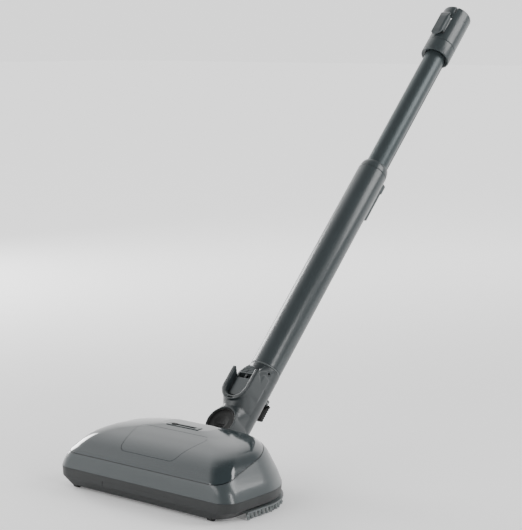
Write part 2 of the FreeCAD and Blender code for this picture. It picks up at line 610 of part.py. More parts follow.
def neck_shells():
    outer = neck_outer()
    center = CRADLE_LOW + CRADLE_HALF
    recess_half = CRADLE_HALF - CRADLE_RIM
    recess = rod(recess_half, Vector(0, -CRADLE_FLOOR, center), Vector(0, -1, 0), 40)
    recess = recess.fuse(block(-recess_half, recess_half, -80, -CRADLE_FLOOR, center, 200))
    bore = rod(NECK_BORE_R, Vector(0, 0, 0), Z_AXIS, NECK_TOP + 1)
    barrel_bore = rod_x(NECK_BORE_R, -BARREL_HALF + 3, BARREL_HALF - 3, 0, 0)
    bowl = rod(PEDAL_R + CLEAR, Vector(0, -PEDAL_REST + PEDAL_TRAVEL + 0.5, BULGE_AT),
               Vector(0, -1, 0), 30)
    slot = block(-9, 9, -CRADLE_FRONT - 1, -CRADLE_FRONT + 3, CRADLE_LOW + 3, CRADLE_LOW + 5.5)
    button_slot = block(-5, 5, -NECK_R - 20, -NECK_BORE_R + 2, BUTTON_LOW - 2, BUTTON_LOW + 12.5)
    button_room = block(-BUTTON_HALF - 1, BUTTON_HALF + 1, -80, -15,
                        BUTTON_LOW - BUTTON_TRAVEL - 1, 200).cut(
                            rod(NECK_R, Vector(0, 0, 0), Z_AXIS, 300))
    window = rod(2.2, Vector(0, 0, NECK_TOP - 13), Vector(22, -14, 0), 40)
    ears = [block(x, x + 4, NECK_R - 3, LEVER_PIN_Y + 4, LEVER_PIN_S - 5, LEVER_PIN_S + 5)
            for x in (-10, 6)]
    outer = outer.fuse(ears[0]).fuse(ears[1])
    inlet = block(-22, 22, -60, 0, -60, 60)
    inlet.rotate(Vector(0, 0, 0), X_AXIS, 90.0 - WAND_ANGLE)
    inlet = inlet.common(rod_x(BARREL_R + 1, -22, 22, 0, 0)).common(
        block(-30, 30, -40, 8, -40, 3))
    pin_bore = rod_x(LEVER_PIN_R, -12, 12, LEVER_PIN_Y, LEVER_PIN_S)
    body = cut(outer, [recess, bore, barrel_bore, bowl, slot, button_slot, button_room, window,
                       inlet, pin_bore])
    front_half = block(-80, 80, -100, SPLIT_Y, -60, 300)
    add_wand("neck_front_shell", body.common(front_half))
    add_wand("neck_rear_shell", body.cut(front_half))
    plate = block(-14, 14, -CRADLE_FLOOR - 3.5, -CRADLE_FLOOR, 89, 122)
    tab = block(-5, 5, -CRADLE_FLOOR - 2.0, -CRADLE_FLOOR, 84.5, 89)
    dots = [rod(0.9, Vector(x, -CRADLE_FLOOR - 3, 86), Y_AXIS, 1.5) for x in (-2.5, 2.5)]
    add_wand("cradle_plate", cut(fuse([plate, tab]), dots))


def release_button():
    top = BUTTON_HIGH - BUTTON_LOW
    disc = rod(BUTTON_HALF, Vector(0, -NECK_R + 8, 0), Vector(0, -1, 0), BUTTON_FRONT - NECK_R + 8)
    squash = FreeCAD.Matrix()
    squash.scale(1.0, 1.0, top / BUTTON_HALF)
    disc = disc.transformGeometry(squash)
    disc.translate(Vector(0, 0, BUTTON_LOW))
    disc = disc.cut(block(-40, 40, -80, 0, 0, BUTTON_LOW))
    ribs = [block(-20, 20, -BUTTON_FRONT - 1, -BUTTON_FRONT + 1.2, z, z + 1.1)
            for z in (132.5, 135.5, 138.5, 141.5)]
    stem = block(-4.5, 4.5, -NECK_R - 3, -NECK_BORE_R - 0.4, BUTTON_LOW + 4.5, BUTTON_LOW + 11.5)
    body = disc.cut(rod(NECK_R + CLEAR, Vector(0, 0, 100), Z_AXIS, 80)).fuse(stem)
    pocket = rod(2.6, Vector(0, -CRADLE_FLOOR - 2.2, BUTTON_LOW - 1), Z_AXIS, 10)
    add_wand("release_button", cut(body.removeSplitter(), ribs + [pocket]))
    spring = coil(1.6, 0.35, 9.5, 6)
    spring.translate(Vector(0, -CRADLE_FLOOR - 2.2, 122.4))
    add_wand("release_spring", spring)


def toe_pedal():
    disc = rod(PEDAL_R, Vector(0, -PEDAL_REST, BULGE_AT), Vector(0, -1, 0), PEDAL_THICK)
    dish = Part.makeSphere(60.0, Vector(0, -PEDAL_REST - 61.4, BULGE_AT))
    disc = disc.cut(dish)
    ribs = [block(-8, 8, -PEDAL_REST - PEDAL_THICK, -PEDAL_REST - 0.6, z, z + 1.4)
            for z in (22.0, 25.6, 29.2, 32.8)]
    rim = rod(PEDAL_R, Vector(0, -PEDAL_REST - PEDAL_THICK, BULGE_AT), Vector(0, -1, 0), 2.0).cut(
        rod(PEDAL_R - 2.5, Vector(0, -20, BULGE_AT), Vector(0, -1, 0), 40))
    add_wand("toe_pedal", fuse([disc, rim] + ribs))


def rear_lever():
    blade = block(-10, 10, LEVER_PIN_Y + 2.5, LEVER_PIN_Y + 10.5, 88, 119)
    blade = blade.makeFillet(3.0, [e for e in blade.Edges if e.BoundBox.XLength > 15
                                   and e.BoundBox.ZMax < 90])
    grooves = [block(-11, 11, LEVER_PIN_Y + 9.3, LEVER_PIN_Y + 11, z, z + 1.6)
               for z in (93, 97, 101, 105, 109, 113)]
    knuckle = rod_x(4.0, -5.6, 5.6, LEVER_PIN_Y, LEVER_PIN_S).fuse(
        block(-5.6, 5.6, LEVER_PIN_Y, LEVER_PIN_Y + 6, 114, 118.5))
    body = fuse([cut(blade, grooves), knuckle])
    ear_room = [block(x, x + 5, 0, LEVER_PIN_Y + 5.6, 112.5, 130) for x in (-10.5, 5.7)]
    body = cut(body, ear_room + [rod_x(LEVER_PIN_R + RUN, -12, 12, LEVER_PIN_Y, LEVER_PIN_S)])
    add_wand("rear_lever", body)
    add_wand("lever_pin", rod_x(LEVER_PIN_R, -10, 10, LEVER_PIN_Y, LEVER_PIN_S))


# ---- lower wand ------------------------------------------------------------------------------
def rail_room(gap):
    return block(-RAIL_HALF - gap, RAIL_HALF + gap, 0, RAIL_OUT + gap, -10, 2000)


def lower_wand():
    inner = LOWER_R - LOWER_WALL
    spigot = rod(NECK_BORE_R - RUN, Vector(0, 0, SPIGOT_LOW), Z_AXIS, NECK_TOP + 15 - SPIGOT_LOW)
    collar = rod(LOWER_R, Vector(0, 0, NECK_TOP + 0.3), Z_AXIS, 2.5)
    spigot = fuse([spigot, collar]).cut(rod(NECK_BORE_R - 2.5, Vector(0, 0, 100), Z_AXIS, 100))
    add_wand("wand_spigot", spigot)
    low = NECK_TOP + 2.8
    tube = rod(LOWER_R, Vector(0, 0, low), Z_AXIS, LOWER_TOP - low)
    tube = tube.cut(rod(inner, Vector(0, 0, 0), Z_AXIS, 700))
    lock_window = block(-7, 7, 0, 40, LOCK_LOW + 12, LOCK_HIGH - 12)
    add_wand("lower_tube", tube.cut(lock_window))
    cone = Part.makeCone(LOWER_R, LOWER_R - 3.5, SHOULDER_TOP - LOWER_TOP, Vector(0, 0, LOWER_TOP),
                         Z_AXIS)
    plug = rod(inner, Vector(0, 0, LOWER_TOP - 8), Z_AXIS, 8.0)
    bush = fuse([cone, plug])
    bush = cut(bush, [rod(UPPER_R + RUN, Vector(0, 0, 0), Z_AXIS, 900), rail_room(CLEAR)])
    add_wand("shoulder_bush", bush)


def telescope_lock():
    body = block(-LOCK_HALF, LOCK_HALF, 10, LOCK_OUT, LOCK_LOW, LOCK_HIGH)
    body = body.makeFillet(4.0, [e for e in body.Edges if e.BoundBox.YMin > LOCK_OUT - 1])
    body = body.cut(rod(LOWER_R, Vector(0, 0, 400), Z_AXIS, 300))
    room = block(-9, 9, 0, LOCK_OUT + 5, LOCK_LOW + 13, LOCK_HIGH - 13)
    add_wand("lock_housing", body.cut(room))
    z0 = LOCK_LOW + 13.4
    z1 = LOCK_HIGH - 13.4 - LOCK_TRAVEL
    button = block(-8.6, 8.6, LOWER_R + CLEAR, LOCK_OUT + 1.5, z0, z1)
    steps = [block(-10, 10, LOCK_OUT + 0.6, LOCK_OUT + 3, z0 + 5 + 5 * i, z0 + 7 + 5 * i)
             for i in range(5)]
    stem = block(-5, 5, RAIL_OUT + CLEAR, LOWER_R + 2, z0 + 4, z1 - 8)
    spring_room = block(-3, 3, LOWER_R + 0.2, LOWER_R + 5, z1 - 9.4, z1 + 1)
    add_wand("lock_button", cut(button.fuse(stem).removeSplitter(), steps + [spring_room]))
    spring = coil(1.5, 0.35, 8.0, 5)
    spring.translate(Vector(0, LOWER_R + 2.6, LOCK_HIGH - 13.2 - 8.2))
    add_wand("lock_spring", spring)


# ---- upper wand ------------------------------------------------------------------------------
def upper_wand():
    tube = rod(UPPER_R, Vector(0, 0, UPPER_LOW), Z_AXIS, UPPER_TOP - UPPER_LOW)
    add_wand("upper_tube", tube.cut(rod(UPPER_R - UPPER_WALL, Vector(0, 0, 0), Z_AXIS, 1200)))
    rail = block(-RAIL_HALF, RAIL_HALF, 5, RAIL_OUT, UPPER_LOW + 12, COLLAR_LOW + 20)
    rail = rail.makeFillet(1.0, [e for e in rail.Edges if e.BoundBox.YMin > RAIL_OUT - 0.1
                                 and e.BoundBox.ZLength > 50])
    add_wand("upper_rail", rail.cut(rod(UPPER_R, Vector(0, 0, 0), Z_AXIS, 1200)))
    sleeve = rod(COLLAR_R, Vector(0, 0, COLLAR_LOW), Z_AXIS, COLLAR_SEAM - SEAM - COLLAR_LOW)
    sleeve = cut(sleeve, [rod(UPPER_R, Vector(0, 0, 0), Z_AXIS, 1200), rail_room(0.0).cut(
        rod(UPPER_R, Vector(0, 0, 0), Z_AXIS, 1200))])
    sleeve = sleeve.cut(Part.makeCone(COLLAR_R - 2, UPPER_R, 14, Vector(0, 0, COLLAR_LOW - 0.01), Z_AXIS))
    add_wand("collar_sleeve", sleeve)
    head = rod(COLLAR_R, Vector(0, 0, COLLAR_SEAM), Z_AXIS, COLLAR_TOP - COLLAR_SEAM)
    head = head.makeFillet(3.0, [e for e in head.Edges if e.BoundBox.ZMin > COLLAR_TOP - 0.1
                                 and e.Length > 100])
    catch = block(-4, 4, COLLAR_R - 2, COLLAR_R + 3.5, COLLAR_TOP - 14, COLLAR_TOP - 8)
    notch = block(10, 13, -40, -15, COLLAR_TOP - 16, COLLAR_TOP + 1)
    latch_room = block(-LATCH_HALF - 0.4, LATCH_HALF + 0.4, -60, -15, LATCH_LOW + 6, LATCH_HIGH - 6)
    head = cut(fuse([head, catch]), [
        rod(UPPER_R, Vector(0, 0, 0), Z_AXIS, 1200),
        rod(SOCKET_R, Vector(0, 0, COLLAR_TOP - SOCKET_DEPTH), Z_AXIS, 100), notch, latch_room])
    add_wand("collar_head", head)
    face = COLLAR_R + 8.0
    outline = [Vector(-LATCH_HALF, -COLLAR_R - CLEAR - LATCH_TRAVEL, LATCH_LOW + 8),
               Vector(-LATCH_HALF, -COLLAR_R - CLEAR - LATCH_TRAVEL, LATCH_LOW),
               Vector(-LATCH_HALF, -face + 1, LATCH_LOW + 3),
               Vector(-LATCH_HALF, -face, LATCH_LOW + 10),
               Vector(-LATCH_HALF, -face, LATCH_HIGH - 14),
               Vector(-LATCH_HALF, -face + 2, LATCH_HIGH - 4),
               Vector(-LATCH_HALF, -COLLAR_R - CLEAR - LATCH_TRAVEL, LATCH_HIGH)]
    cap = prism(outline[1:], Vector(2 * LATCH_HALF, 0, 0))
    cap = cap.makeChamfer(3.0, [e for e in cap.Edges if abs(e.BoundBox.YMin + face) < 0.1
                                and e.BoundBox.YLength < 0.1 and e.BoundBox.ZLength > 10])
    stem = block(-LATCH_HALF, LATCH_HALF, -face + 4, -SOCKET_R - 4.2, LATCH_LOW + 10,
                 LATCH_HIGH - 10)
    room = rod(3.2, Vector(0, -SOCKET_R, LATCH_LOW + 20), Vector(0, -1, 0), 11.0)
    add_wand("collar_latch", cut(cap.fuse(stem).removeSplitter(), [room]))


def build():
    for make in (base_housing, screw_bosses, sole_plate, middle_shell, hood, height_selector,
                 front_plate, brush_roll, motor, belt_and_chamber, suction_duct, circuit_board,
                 wheels, skirt, pivot_caps, neck_shells, release_button, toe_pedal, rear_lever,
                 lower_wand, telescope_lock, upper_wand):
        make()
    box = FreeCAD.BoundBox()
    for solids in PARTS.values():
        for solid in solids:
            box.add(solid.BoundBox)
    shift = Vector(0, -(box.YMin + box.YMax) / 2.0, 0)
    os.makedirs("parts", exist_ok=True)
    for node, solids in PARTS.items():
        moved = [s.copy() for s in solids]
        for s in moved:
            s.translate(shift)
        shape = moved[0] if len(moved) == 1 else Part.makeCompound(moved)
        shape.exportStep("parts/" + node + ".step")
        print(node, len(moved), "valid" if all(s.isValid() for s in moved) else "NOT VALID",
              round(sum(s.Volume for s in moved)))
    print("moved along Y by", round(shift.y, 4), "mm; floor to top", round(box.ZMin, 3),
          round(box.ZMax, 3), "X", round(box.XMin, 3), round(box.XMax, 3))


build()
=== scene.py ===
import json
import math

import bmesh
import bpy
import numpy as np
from mathutils import Matrix, Vector


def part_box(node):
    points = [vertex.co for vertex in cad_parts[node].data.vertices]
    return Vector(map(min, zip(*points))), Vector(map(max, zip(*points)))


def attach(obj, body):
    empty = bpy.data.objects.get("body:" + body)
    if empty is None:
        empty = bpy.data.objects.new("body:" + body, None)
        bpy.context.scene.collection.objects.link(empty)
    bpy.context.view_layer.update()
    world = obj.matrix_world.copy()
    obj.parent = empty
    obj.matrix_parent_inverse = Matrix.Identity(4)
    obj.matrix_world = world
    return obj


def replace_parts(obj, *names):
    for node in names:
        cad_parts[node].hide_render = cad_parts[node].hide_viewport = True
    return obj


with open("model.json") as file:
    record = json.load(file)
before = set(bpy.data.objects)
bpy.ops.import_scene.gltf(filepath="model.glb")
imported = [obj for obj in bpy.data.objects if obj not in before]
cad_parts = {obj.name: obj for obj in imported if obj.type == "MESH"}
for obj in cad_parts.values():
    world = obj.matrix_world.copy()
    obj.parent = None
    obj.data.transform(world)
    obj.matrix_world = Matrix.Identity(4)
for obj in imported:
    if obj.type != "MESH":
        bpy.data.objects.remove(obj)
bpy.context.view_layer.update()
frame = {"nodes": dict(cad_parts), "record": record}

bl_info = {
    "name": "Power head with telescopic wand",
    "version": (1, 0, 0),
    "blender": (4, 5, 0),
    "location": "3D View > Sidebar > Floor care",
    "description": "Covers, brushes, neck and wand of a carpet power head around its packed frame",
    "category": "Object",
}

MM = 0.001
JOINTS = {joint["name"]: joint for joint in frame["record"]["behaviour"]["joints"]}
PIVOT = np.array(JOINTS["neck_pitch"]["pos_m"])
ALONG = np.array(JOINTS["telescope"]["axis"], float)      # up the wand
INWARD = np.array(JOINTS["pedal_press"]["axis"], float)   # from the wand's front to its rear
ACROSS = np.array([1.0, 0.0, 0.0])
HEAD_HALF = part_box("base_housing")[1].x
HEAD_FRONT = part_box("base_housing")[0].y
HEAD_DEPTH = 0.190
HEAD_REAR = HEAD_FRONT + HEAD_DEPTH
BELT_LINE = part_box("middle_shell")[0].z   # where the base ends and the smooth skin begins
CREST = 0.1015                            # the skin's top
CLEAR_REAR = HEAD_REAR + 0.05             # cutters run out this far behind the head
CLEAR_TOP = 0.2                           # and this high above the floor


# ---- sizes and colours a user may change -----------------------------------------------------
class CoverSettings(bpy.types.PropertyGroup):
    wall: bpy.props.FloatProperty(
        name="Wall", description="Thickness of the hood and middle shell", default=2.2 * MM,
        unit="LENGTH")
    seam: bpy.props.FloatProperty(
        name="Seam", description="Gap between the hood and the shell", default=0.9 * MM,
        unit="LENGTH")
    rows: bpy.props.IntProperty(
        name="Rows", description="Grid rows from the belt line to the crest", default=64)


class BrushSettings(bpy.types.PropertyGroup):
    fibres: bpy.props.IntProperty(
        name="Fibres", description="Fibres drawn in each tuft", default=20)
    fibre_radius: bpy.props.FloatProperty(
        name="Fibre radius", description="Half the thickness of a drawn fibre bundle",
        default=0.42 * MM, unit="LENGTH")
    spread: bpy.props.FloatProperty(
        name="Spread", description="How far the fibre tips fan out", default=1.6 * MM,
        unit="LENGTH")


class WandSettings(bpy.types.PropertyGroup):
    segments: bpy.props.IntProperty(
        name="Segments", description="Facets round a tube", default=96)


def two_colours(piece, hex_pair):
    """A property that holds the two sRGB hex values between which a finish's colour drifts."""
    return bpy.props.StringProperty(
        name=piece, description="Two sRGB hex colours that this finish drifts between",
        default=hex_pair)


class FinishSettings(bpy.types.PropertyGroup):
    base: two_colours("Base", "#191c1d #1f2223")
    shell: two_colours("Middle shell", "#3b4244 #3e4547")
    hood: two_colours("Hood", "#252e31 #2b3538")
    neck: two_colours("Neck", "#242a2c #293032")
    wand: two_colours("Wand", "#2f3638 #353c3e")
    tube: two_colours("Upper tube", "#3a4244 #434b4d")
    controls: two_colours("Pedal, lever and lock", "#080909 #0e1010")
    skirt: two_colours("Skirt pile", "#5f6566 #939999")


class StageSettings(bpy.types.PropertyGroup):
    floor: bpy.props.FloatVectorProperty(
        name="Floor", description="Colour of the floor", default=(0.93, 0.93, 0.93),
        subtype="COLOR", size=3)
    far_glow: bpy.props.FloatProperty(
        name="Far glow", description="Light that the floor gives off far behind the product, as a "
        "lit backdrop does", default=1.0)
    key: bpy.props.FloatProperty(
        name="Key light", description="Power of the main softbox", default=60.0, unit="POWER")


# ---- nodes and materials ---------------------------------------------------------------------
def linear(hex_colour):
    """An sRGB hex colour as a linear RGBA tuple."""
    parts = [int(hex_colour[i:i + 2], 16) / 255.0 for i in (1, 3, 5)]
    return tuple(c / 12.92 if c <= 0.04045 else ((c + 0.055) / 1.055) ** 2.4 for c in parts) + (1.0,)


def add_node(tree, kind, links=None, **settings):
    """Adds one node; settings are its properties or input values, by name or as in0, in1 and so
    on, and links its incoming sockets."""
    node = tree.nodes.new(kind)
    for key, value in settings.items():
        if hasattr(node, key):
            setattr(node, key, value)
    for key, value in settings.items():
        if not hasattr(node, key):
            node.inputs[int(key[2:]) if key.startswith("in") else key.replace("_", " ")
                        ].default_value = value
    for key, socket in (links or {}).items():
        tree.links.new(socket, node.inputs[key])
    return node


def new_material(name):
    """A node material: itself, its tree, its shader and the piece's own coordinates."""
    material = bpy.data.materials.new(name)
    material.use_nodes = True
    tree = material.node_tree
    shader = tree.nodes["Principled BSDF"]
    place = add_node(tree, "ShaderNodeTexCoord").outputs["Object"]
    return material, tree, shader, place


def patterned(tree, shader, drift, dark, light, grain, strength, depth_mm):
    """Colours a shader between two hex values by one pattern and raises it by another."""
    colour = add_node(tree, "ShaderNodeMix", {0: drift.outputs["Fac"]}, data_type="RGBA",
                      in6=linear(dark), in7=linear(light))
    tree.links.new(colour.outputs[2], shader.inputs["Base Color"])
    bump = add_node(tree, "ShaderNodeBump", {"Height": grain.outputs["Fac"]}, Strength=strength,
                    Distance=depth_mm * MM)
    tree.links.new(bump.outputs["Normal"], shader.inputs["Normal"])


def moulded(name, dark, light, rough, grain_mm, grain_depth, ior=1.54, coat=0.0):
    """Injection-moulded plastic: slow colour drift, patchy gloss and a spark-eroded fine grain.
    A pattern's scale is 1000 over its size in millimetres."""
    drift_mm, wear_mm = 45, 9
    material, tree, shader, place = new_material(name)
    drift = add_node(tree, "ShaderNodeTexNoise", {"Vector": place}, Scale=1000 / drift_mm,
                     Detail=1.5)
    wear = add_node(tree, "ShaderNodeTexNoise", {"Vector": place}, Scale=1000 / wear_mm,
                    Detail=2.0, Roughness=0.5)
    grain = add_node(tree, "ShaderNodeTexNoise", {"Vector": place}, Scale=1000 / grain_mm,
                     Detail=2.0)
    patterned(tree, shader, drift, dark, light, grain, 0.35, grain_depth)
    gloss = add_node(tree, "ShaderNodeMapRange", {"Value": wear.outputs["Fac"]},
                     To_Min=rough * 0.9, To_Max=rough * 1.12)
    tree.links.new(gloss.outputs[0], shader.inputs["Roughness"])
    shader.inputs["IOR"].default_value = ior
    shader.inputs["Coat Weight"].default_value = coat
    shader.inputs["Coat Roughness"].default_value = 0.08
    return material


def worked_metal(name, dark, light, rough, line_mm, axis, metallic=1.0):
    """Drawn, turned or anodised metal: fine lines along one axis and a soft smoky stain. The lines
    are noise on coordinates stretched to line_length_mm along the axis."""
    line_length_mm, stain_mm = 60, 30
    material, tree, shader, place = new_material(name)
    stretch = [1000 / line_mm] * 3
    stretch[axis] = 1000 / line_length_mm
    stretched = add_node(tree, "ShaderNodeMapping", {"Vector": place}, Scale=stretch)
    lines = add_node(tree, "ShaderNodeTexNoise", {"Vector": stretched.outputs[0]}, Scale=1.0,
                     Detail=3.0)
    stain = add_node(tree, "ShaderNodeTexNoise", {"Vector": place}, Scale=1000 / stain_mm,
                     Detail=5.0)
    patterned(tree, shader, stain, dark, light, lines, 0.12, 0.05)
    gloss = add_node(tree, "ShaderNodeMapRange", {"Value": lines.outputs["Fac"]},
                     To_Min=rough * 0.7, To_Max=rough * 1.35)
    tree.links.new(gloss.outputs[0], shader.inputs["Roughness"])
    shader.inputs["Metallic"].default_value = metallic
    return material


def fibre(name, dark, light):
    """Crimped nylon or soft pile: fine streaks with a dusty sheen."""
    streak_mm = 1.4
    material, tree, shader, place = new_material(name)
    streaks = add_node(tree, "ShaderNodeTexNoise", {"Vector": place}, Scale=1000 / streak_mm,
                       Detail=3.0)
    patterned(tree, shader, streaks, dark, light, streaks, 0.5, 0.2)
    shader.inputs["Roughness"].default_value = 0.7
    shader.inputs["Sheen Weight"].default_value = 0.25
    return material


MATERIALS = {}


def make_materials(colours):
    """One material for each real finish. A moulded one's last numbers are its roughness and its
    grain's size and depth in millimetres, a metal's its roughness, line spacing and line axis."""
    # Base: black ABS with a coarse anti-scuff grain, almost matt. The black strip inside the hood's
    # seam wears it too, as painted shade.
    MATERIALS["black"] = moulded("black_abs_and_seam_shade", *colours.base.split(), 0.46, 0.9, 0.05)
    # Buttons, pedal and lever: black acetal, dull, with little sheen even where seen edge on.
    MATERIALS["acetal"] = moulded("black_acetal_moulded", *colours.controls.split(), 0.60, 0.7,
                                  0.03, ior=1.36)
    # Middle shell: slate ABS with a satin skin that catches long soft highlights. Its grain is a
    # slow waviness, because a finer one breaks the highlights into specks.
    MATERIALS["slate"] = moulded("slate_abs_satin", *colours.shell.split(), 0.30, 14.0, 0.02,
                                 coat=0.2)
    # Hood: polished smoke polycarbonate, near mirror gloss over a grey body colour.
    MATERIALS["smoke"] = moulded("smoke_polycarbonate_polished", *colours.hood.split(), 0.13,
                                 3.0, 0.01, ior=1.52, coat=0.55)
    # Wand: darker slate ABS, satin, with a fine even grain.
    MATERIALS["wand"] = moulded("slate_abs_wand_satin", *colours.wand.split(), 0.32, 0.8, 0.008,
                                coat=0.1)
    # Neck: the same plastic a shade darker and duller, drawn coarse so that its folds stay calm.
    MATERIALS["neck"] = moulded("slate_abs_neck_satin", *colours.neck.split(), 0.36, 2.5, 0.01,
                                coat=0.08)
    # Skirt rim: light grey ABS, half matt. The spigot's ring at the neck's seam wears it too, and
    # there its light grey is a painted highlight.
    MATERIALS["rim"] = moulded("light_grey_abs", "#565b5c", "#636869", 0.45, 0.8, 0.04)
    # Wheels and belt: soft black rubber with a dusty bloom.
    MATERIALS["rubber"] = moulded("moulded_rubber", "#191a1a", "#2a2a2a", 0.75, 0.6, 0.06, ior=1.52)
    # Circuit board: green glass-epoxy under solder mask.
    MATERIALS["board"] = moulded("glass_epoxy_board", "#1d4a2c", "#2a5c3a", 0.35, 0.4, 0.02)
    # Upper tube: dark anodised aluminium with faint drawing lines. Its oxide skin hides most of
    # the metal's mirror, so it is only partly metallic.
    MATERIALS["anodised"] = worked_metal("aluminium_dark_anodised", *colours.tube.split(), 0.36,
                                         0.5, 2, metallic=0.4)
    # Sole, screws, pins, shafts and springs: bright steel with brushed lines.
    MATERIALS["steel"] = worked_metal("steel_sheet_brushed", "#8d8f90", "#a9abab", 0.34, 0.35, 0)
    # Motor can and brush core: pressed steel, greyer and softer in its shine.
    MATERIALS["can"] = worked_metal("steel_can_pressed", "#5c5e60", "#77797b", 0.4, 0.4, 0)
    # Brush bearings: sintered bronze, brown and dull from its pores.
    MATERIALS["bronze"] = worked_metal("bronze_sintered", "#8a6a3a", "#a58350", 0.5, 0.6, 0)
    # Brush roll: crimped black nylon, streaky along each bristle.
    MATERIALS["bristle"] = fibre("nylon_bristle_crimped", "#1b1d1e", "#3a3d3e")
    # Skirt: pale soft pile with a dusty edge.
    MATERIALS["pile"] = fibre("soft_pile_tuft", *colours.skirt.split())


class MESH_OT_finishes(bpy.types.Operator):
    """One material for each real finish"""
    bl_idname = "mesh.power_head_finishes"
    bl_label = "Finishes"

    def execute(self, context):
        make_materials(context.scene.power_head_finishes)
        return {"FINISHED"}


def dress(piece, finish):
    """Gives a piece one finish."""
    piece.data.materials.clear()
    piece.data.materials.append(MATERIALS[finish])
    return piece


# ---- surfaces --------------------------------------------------------------------------------
WELD = 1e-6            # points nearer than this are one, in metres
SLIVER = 0.02 * MM     # faces thinner than this are dropped


def new_piece(name, vertices, faces):
    """An object at the origin from lists of points and faces."""
    mesh = bpy.data.meshes.new(name)
    mesh.from_pydata(vertices, [], faces)
    mesh.update()
    piece = bpy.data.objects.new(name, mesh)
    bpy.context.scene.collection.objects.link(piece)
    return piece


def twin(name, source):
    """A new object with its own copy of another's mesh."""
    piece = bpy.data.objects.new(name, source.data.copy())
    bpy.context.scene.collection.objects.link(piece)
    return piece


def smoothed(piece):
    """Smooth shading on every face."""
    piece.data.polygons.foreach_set("use_smooth", np.full(len(piece.data.polygons), True))
    return piece


def surface(name, points):
    """A mesh from a grid of points (rows, columns, 3): each row is one closed ring, and
    neighbouring rings are joined by quads. Faces point outwards when the columns run
    counter-clockwise seen against the direction that the rows advance in."""
    rows, cols = points.shape[:2]
    i = np.arange(rows - 1)[:, None] * cols
    j = np.arange(cols)[None, :]
    k = (j + 1) % cols
    quads = np.stack([i + j, i + k, i + cols + k, i + cols + j], axis=-1).reshape(-1, 4)
    return smoothed(new_piece(name, points.reshape(-1, 3).tolist(), quads.tolist()))


def wand_point(x, y, s):
    """Row-frame points from wand coordinates in metres: x right, y rearwards, s up the wand."""
    x, y, s = np.broadcast_arrays(x, y, s)
    return PIVOT + x[..., None] * ACROSS + y[..., None] * INWARD + s[..., None] * ALONG


def turned(name, profile, segments):
    """A body of revolution about the wand's axis: profile rows are (radius, station) in metres,
    turned through a full circle of angles."""
    radius, station = np.array(profile, float).T
    angle = np.linspace(0, 2 * math.pi, segments, endpoint=False)
    x = radius[:, None] * np.cos(angle)[None, :]
    y = radius[:, None] * np.sin(angle)[None, :]
    return surface(name, wand_point(x, y, np.repeat(station[:, None], segments, axis=1)))


def settled(piece):
    """Replaces a piece's mesh by what its modifiers make of it."""
    bpy.context.view_layer.update()
    shaped = piece.evaluated_get(bpy.context.evaluated_depsgraph_get())
    mesh = bpy.data.meshes.new_from_object(shaped)
    piece.modifiers.clear()
    piece.data = mesh
    return piece


def joined(name, pieces):
    """One piece from several, each keeping its own faces."""
    with bpy.context.temp_override(active_object=pieces[0], selected_editable_objects=pieces):
        bpy.ops.object.join()
    pieces[0].name = name
    return pieces[0]


def carved(piece, cutter, operation="DIFFERENCE"):
    """Takes a closed cutter from a piece, or keeps what they share, and removes the cutter."""
    modifier = piece.modifiers.new("carve", "BOOLEAN")
    modifier.operation = operation
    modifier.solver = "EXACT"
    modifier.object = cutter
    settled(piece)
    bpy.data.objects.remove(cutter)
    return piece


def shaded(piece, angle):
    """Smooth shading that keeps edges sharper than an angle. Faces thinner than SLIVER go first,
    since their directions mean nothing."""
    work = bmesh.new()
    work.from_mesh(piece.data)
    bmesh.ops.dissolve_degenerate(work, dist=SLIVER, edges=work.edges)
    work.to_mesh(piece.data)
    work.free()
    smoothed(piece)
    piece.data.set_sharp_from_angle(angle=math.radians(angle))
    return piece


def slab(name, outline, depth_vector):
    """A closed prism: a polygon of points (n, 3) and its copy moved by a vector."""
    outline = np.array(outline, float)
    far = outline + np.array(depth_vector, float)
    count = len(outline)
    faces = [list(range(count))[::-1], list(range(count, 2 * count))]
    faces += [[i, (i + 1) % count, count + (i + 1) % count, count + i] for i in range(count)]
    return outward(new_piece(name, np.vstack([outline, far]).tolist(), faces))


def welded(piece, turn_out=False):
    """Merges points that lie on each other, such as the crown's last ring, and turns the faces of
    a closed piece outwards where asked."""
    work = bmesh.new()
    work.from_mesh(piece.data)
    bmesh.ops.remove_doubles(work, verts=work.verts, dist=WELD)
    if turn_out:
        bmesh.ops.recalc_face_normals(work, faces=work.faces)
    work.to_mesh(piece.data)
    work.free()
    return piece


def outward(piece):
    """Welds a closed piece and turns its faces outwards."""
    return welded(piece, turn_out=True)


def cad_copy(name, nodes):
    """A welded copy of CAD nodes to work on; the nodes themselves stay as they are."""
    copies = [twin(name + "_" + node, frame["nodes"][node]) for node in nodes]
    whole = joined(name, copies) if len(copies) > 1 else copies[0]
    whole.name = name
    return outward(whole)


def melted(piece, voxel, passes):
    """Rebuilds a piece as an even skin and relaxes it, which rounds every edge and inside corner
    the way a moulding tool does."""
    remesh = piece.modifiers.new("skin", "REMESH")
    remesh.mode = "VOXEL"
    remesh.voxel_size = voxel
    relax = piece.modifiers.new("relax", "SMOOTH")
    relax.factor = 0.5
    relax.iterations = passes
    return smoothed(settled(piece))


# ---- the head's skin -------------------------------------------------------------------------
HOOD_LINE_FRONT = 0.055            # height of the line between shell and hood at the front
HOOD_LINE_RISE = 0.2               # how much it climbs for each unit of length rearwards
FRONT_CORNER = 0.027               # plan radii at the belt line
REAR_CORNER = 0.100
FRONT_SHARES = (0.42, 0.6)         # a corner takes at most these shares of depth and half width
REAR_SHARES = (0.53, 0.8)
COLUMN_COUNTS = (26, 22, 14, 34, 16)   # half front, front corner, side, rear corner, half rear
CROWN_RINGS = 15
CROWN_RISE = 0.4 * MM
# Height above the belt line, then how far the side, front and rear walls have drawn in there, mm.
SKIN_STEPS = np.array([
    (0, 0, 0, 0), (14, 6, 1.6, 2), (26, 14, 5, 4), (35, 21, 13, 7), (45.5, 29.5, 24.5, 12),
    (54, 40, 40, 20), (61, 58, 62, 30), (66, 92, 83, 41), (70, 130, 101, 54)], float) * MM


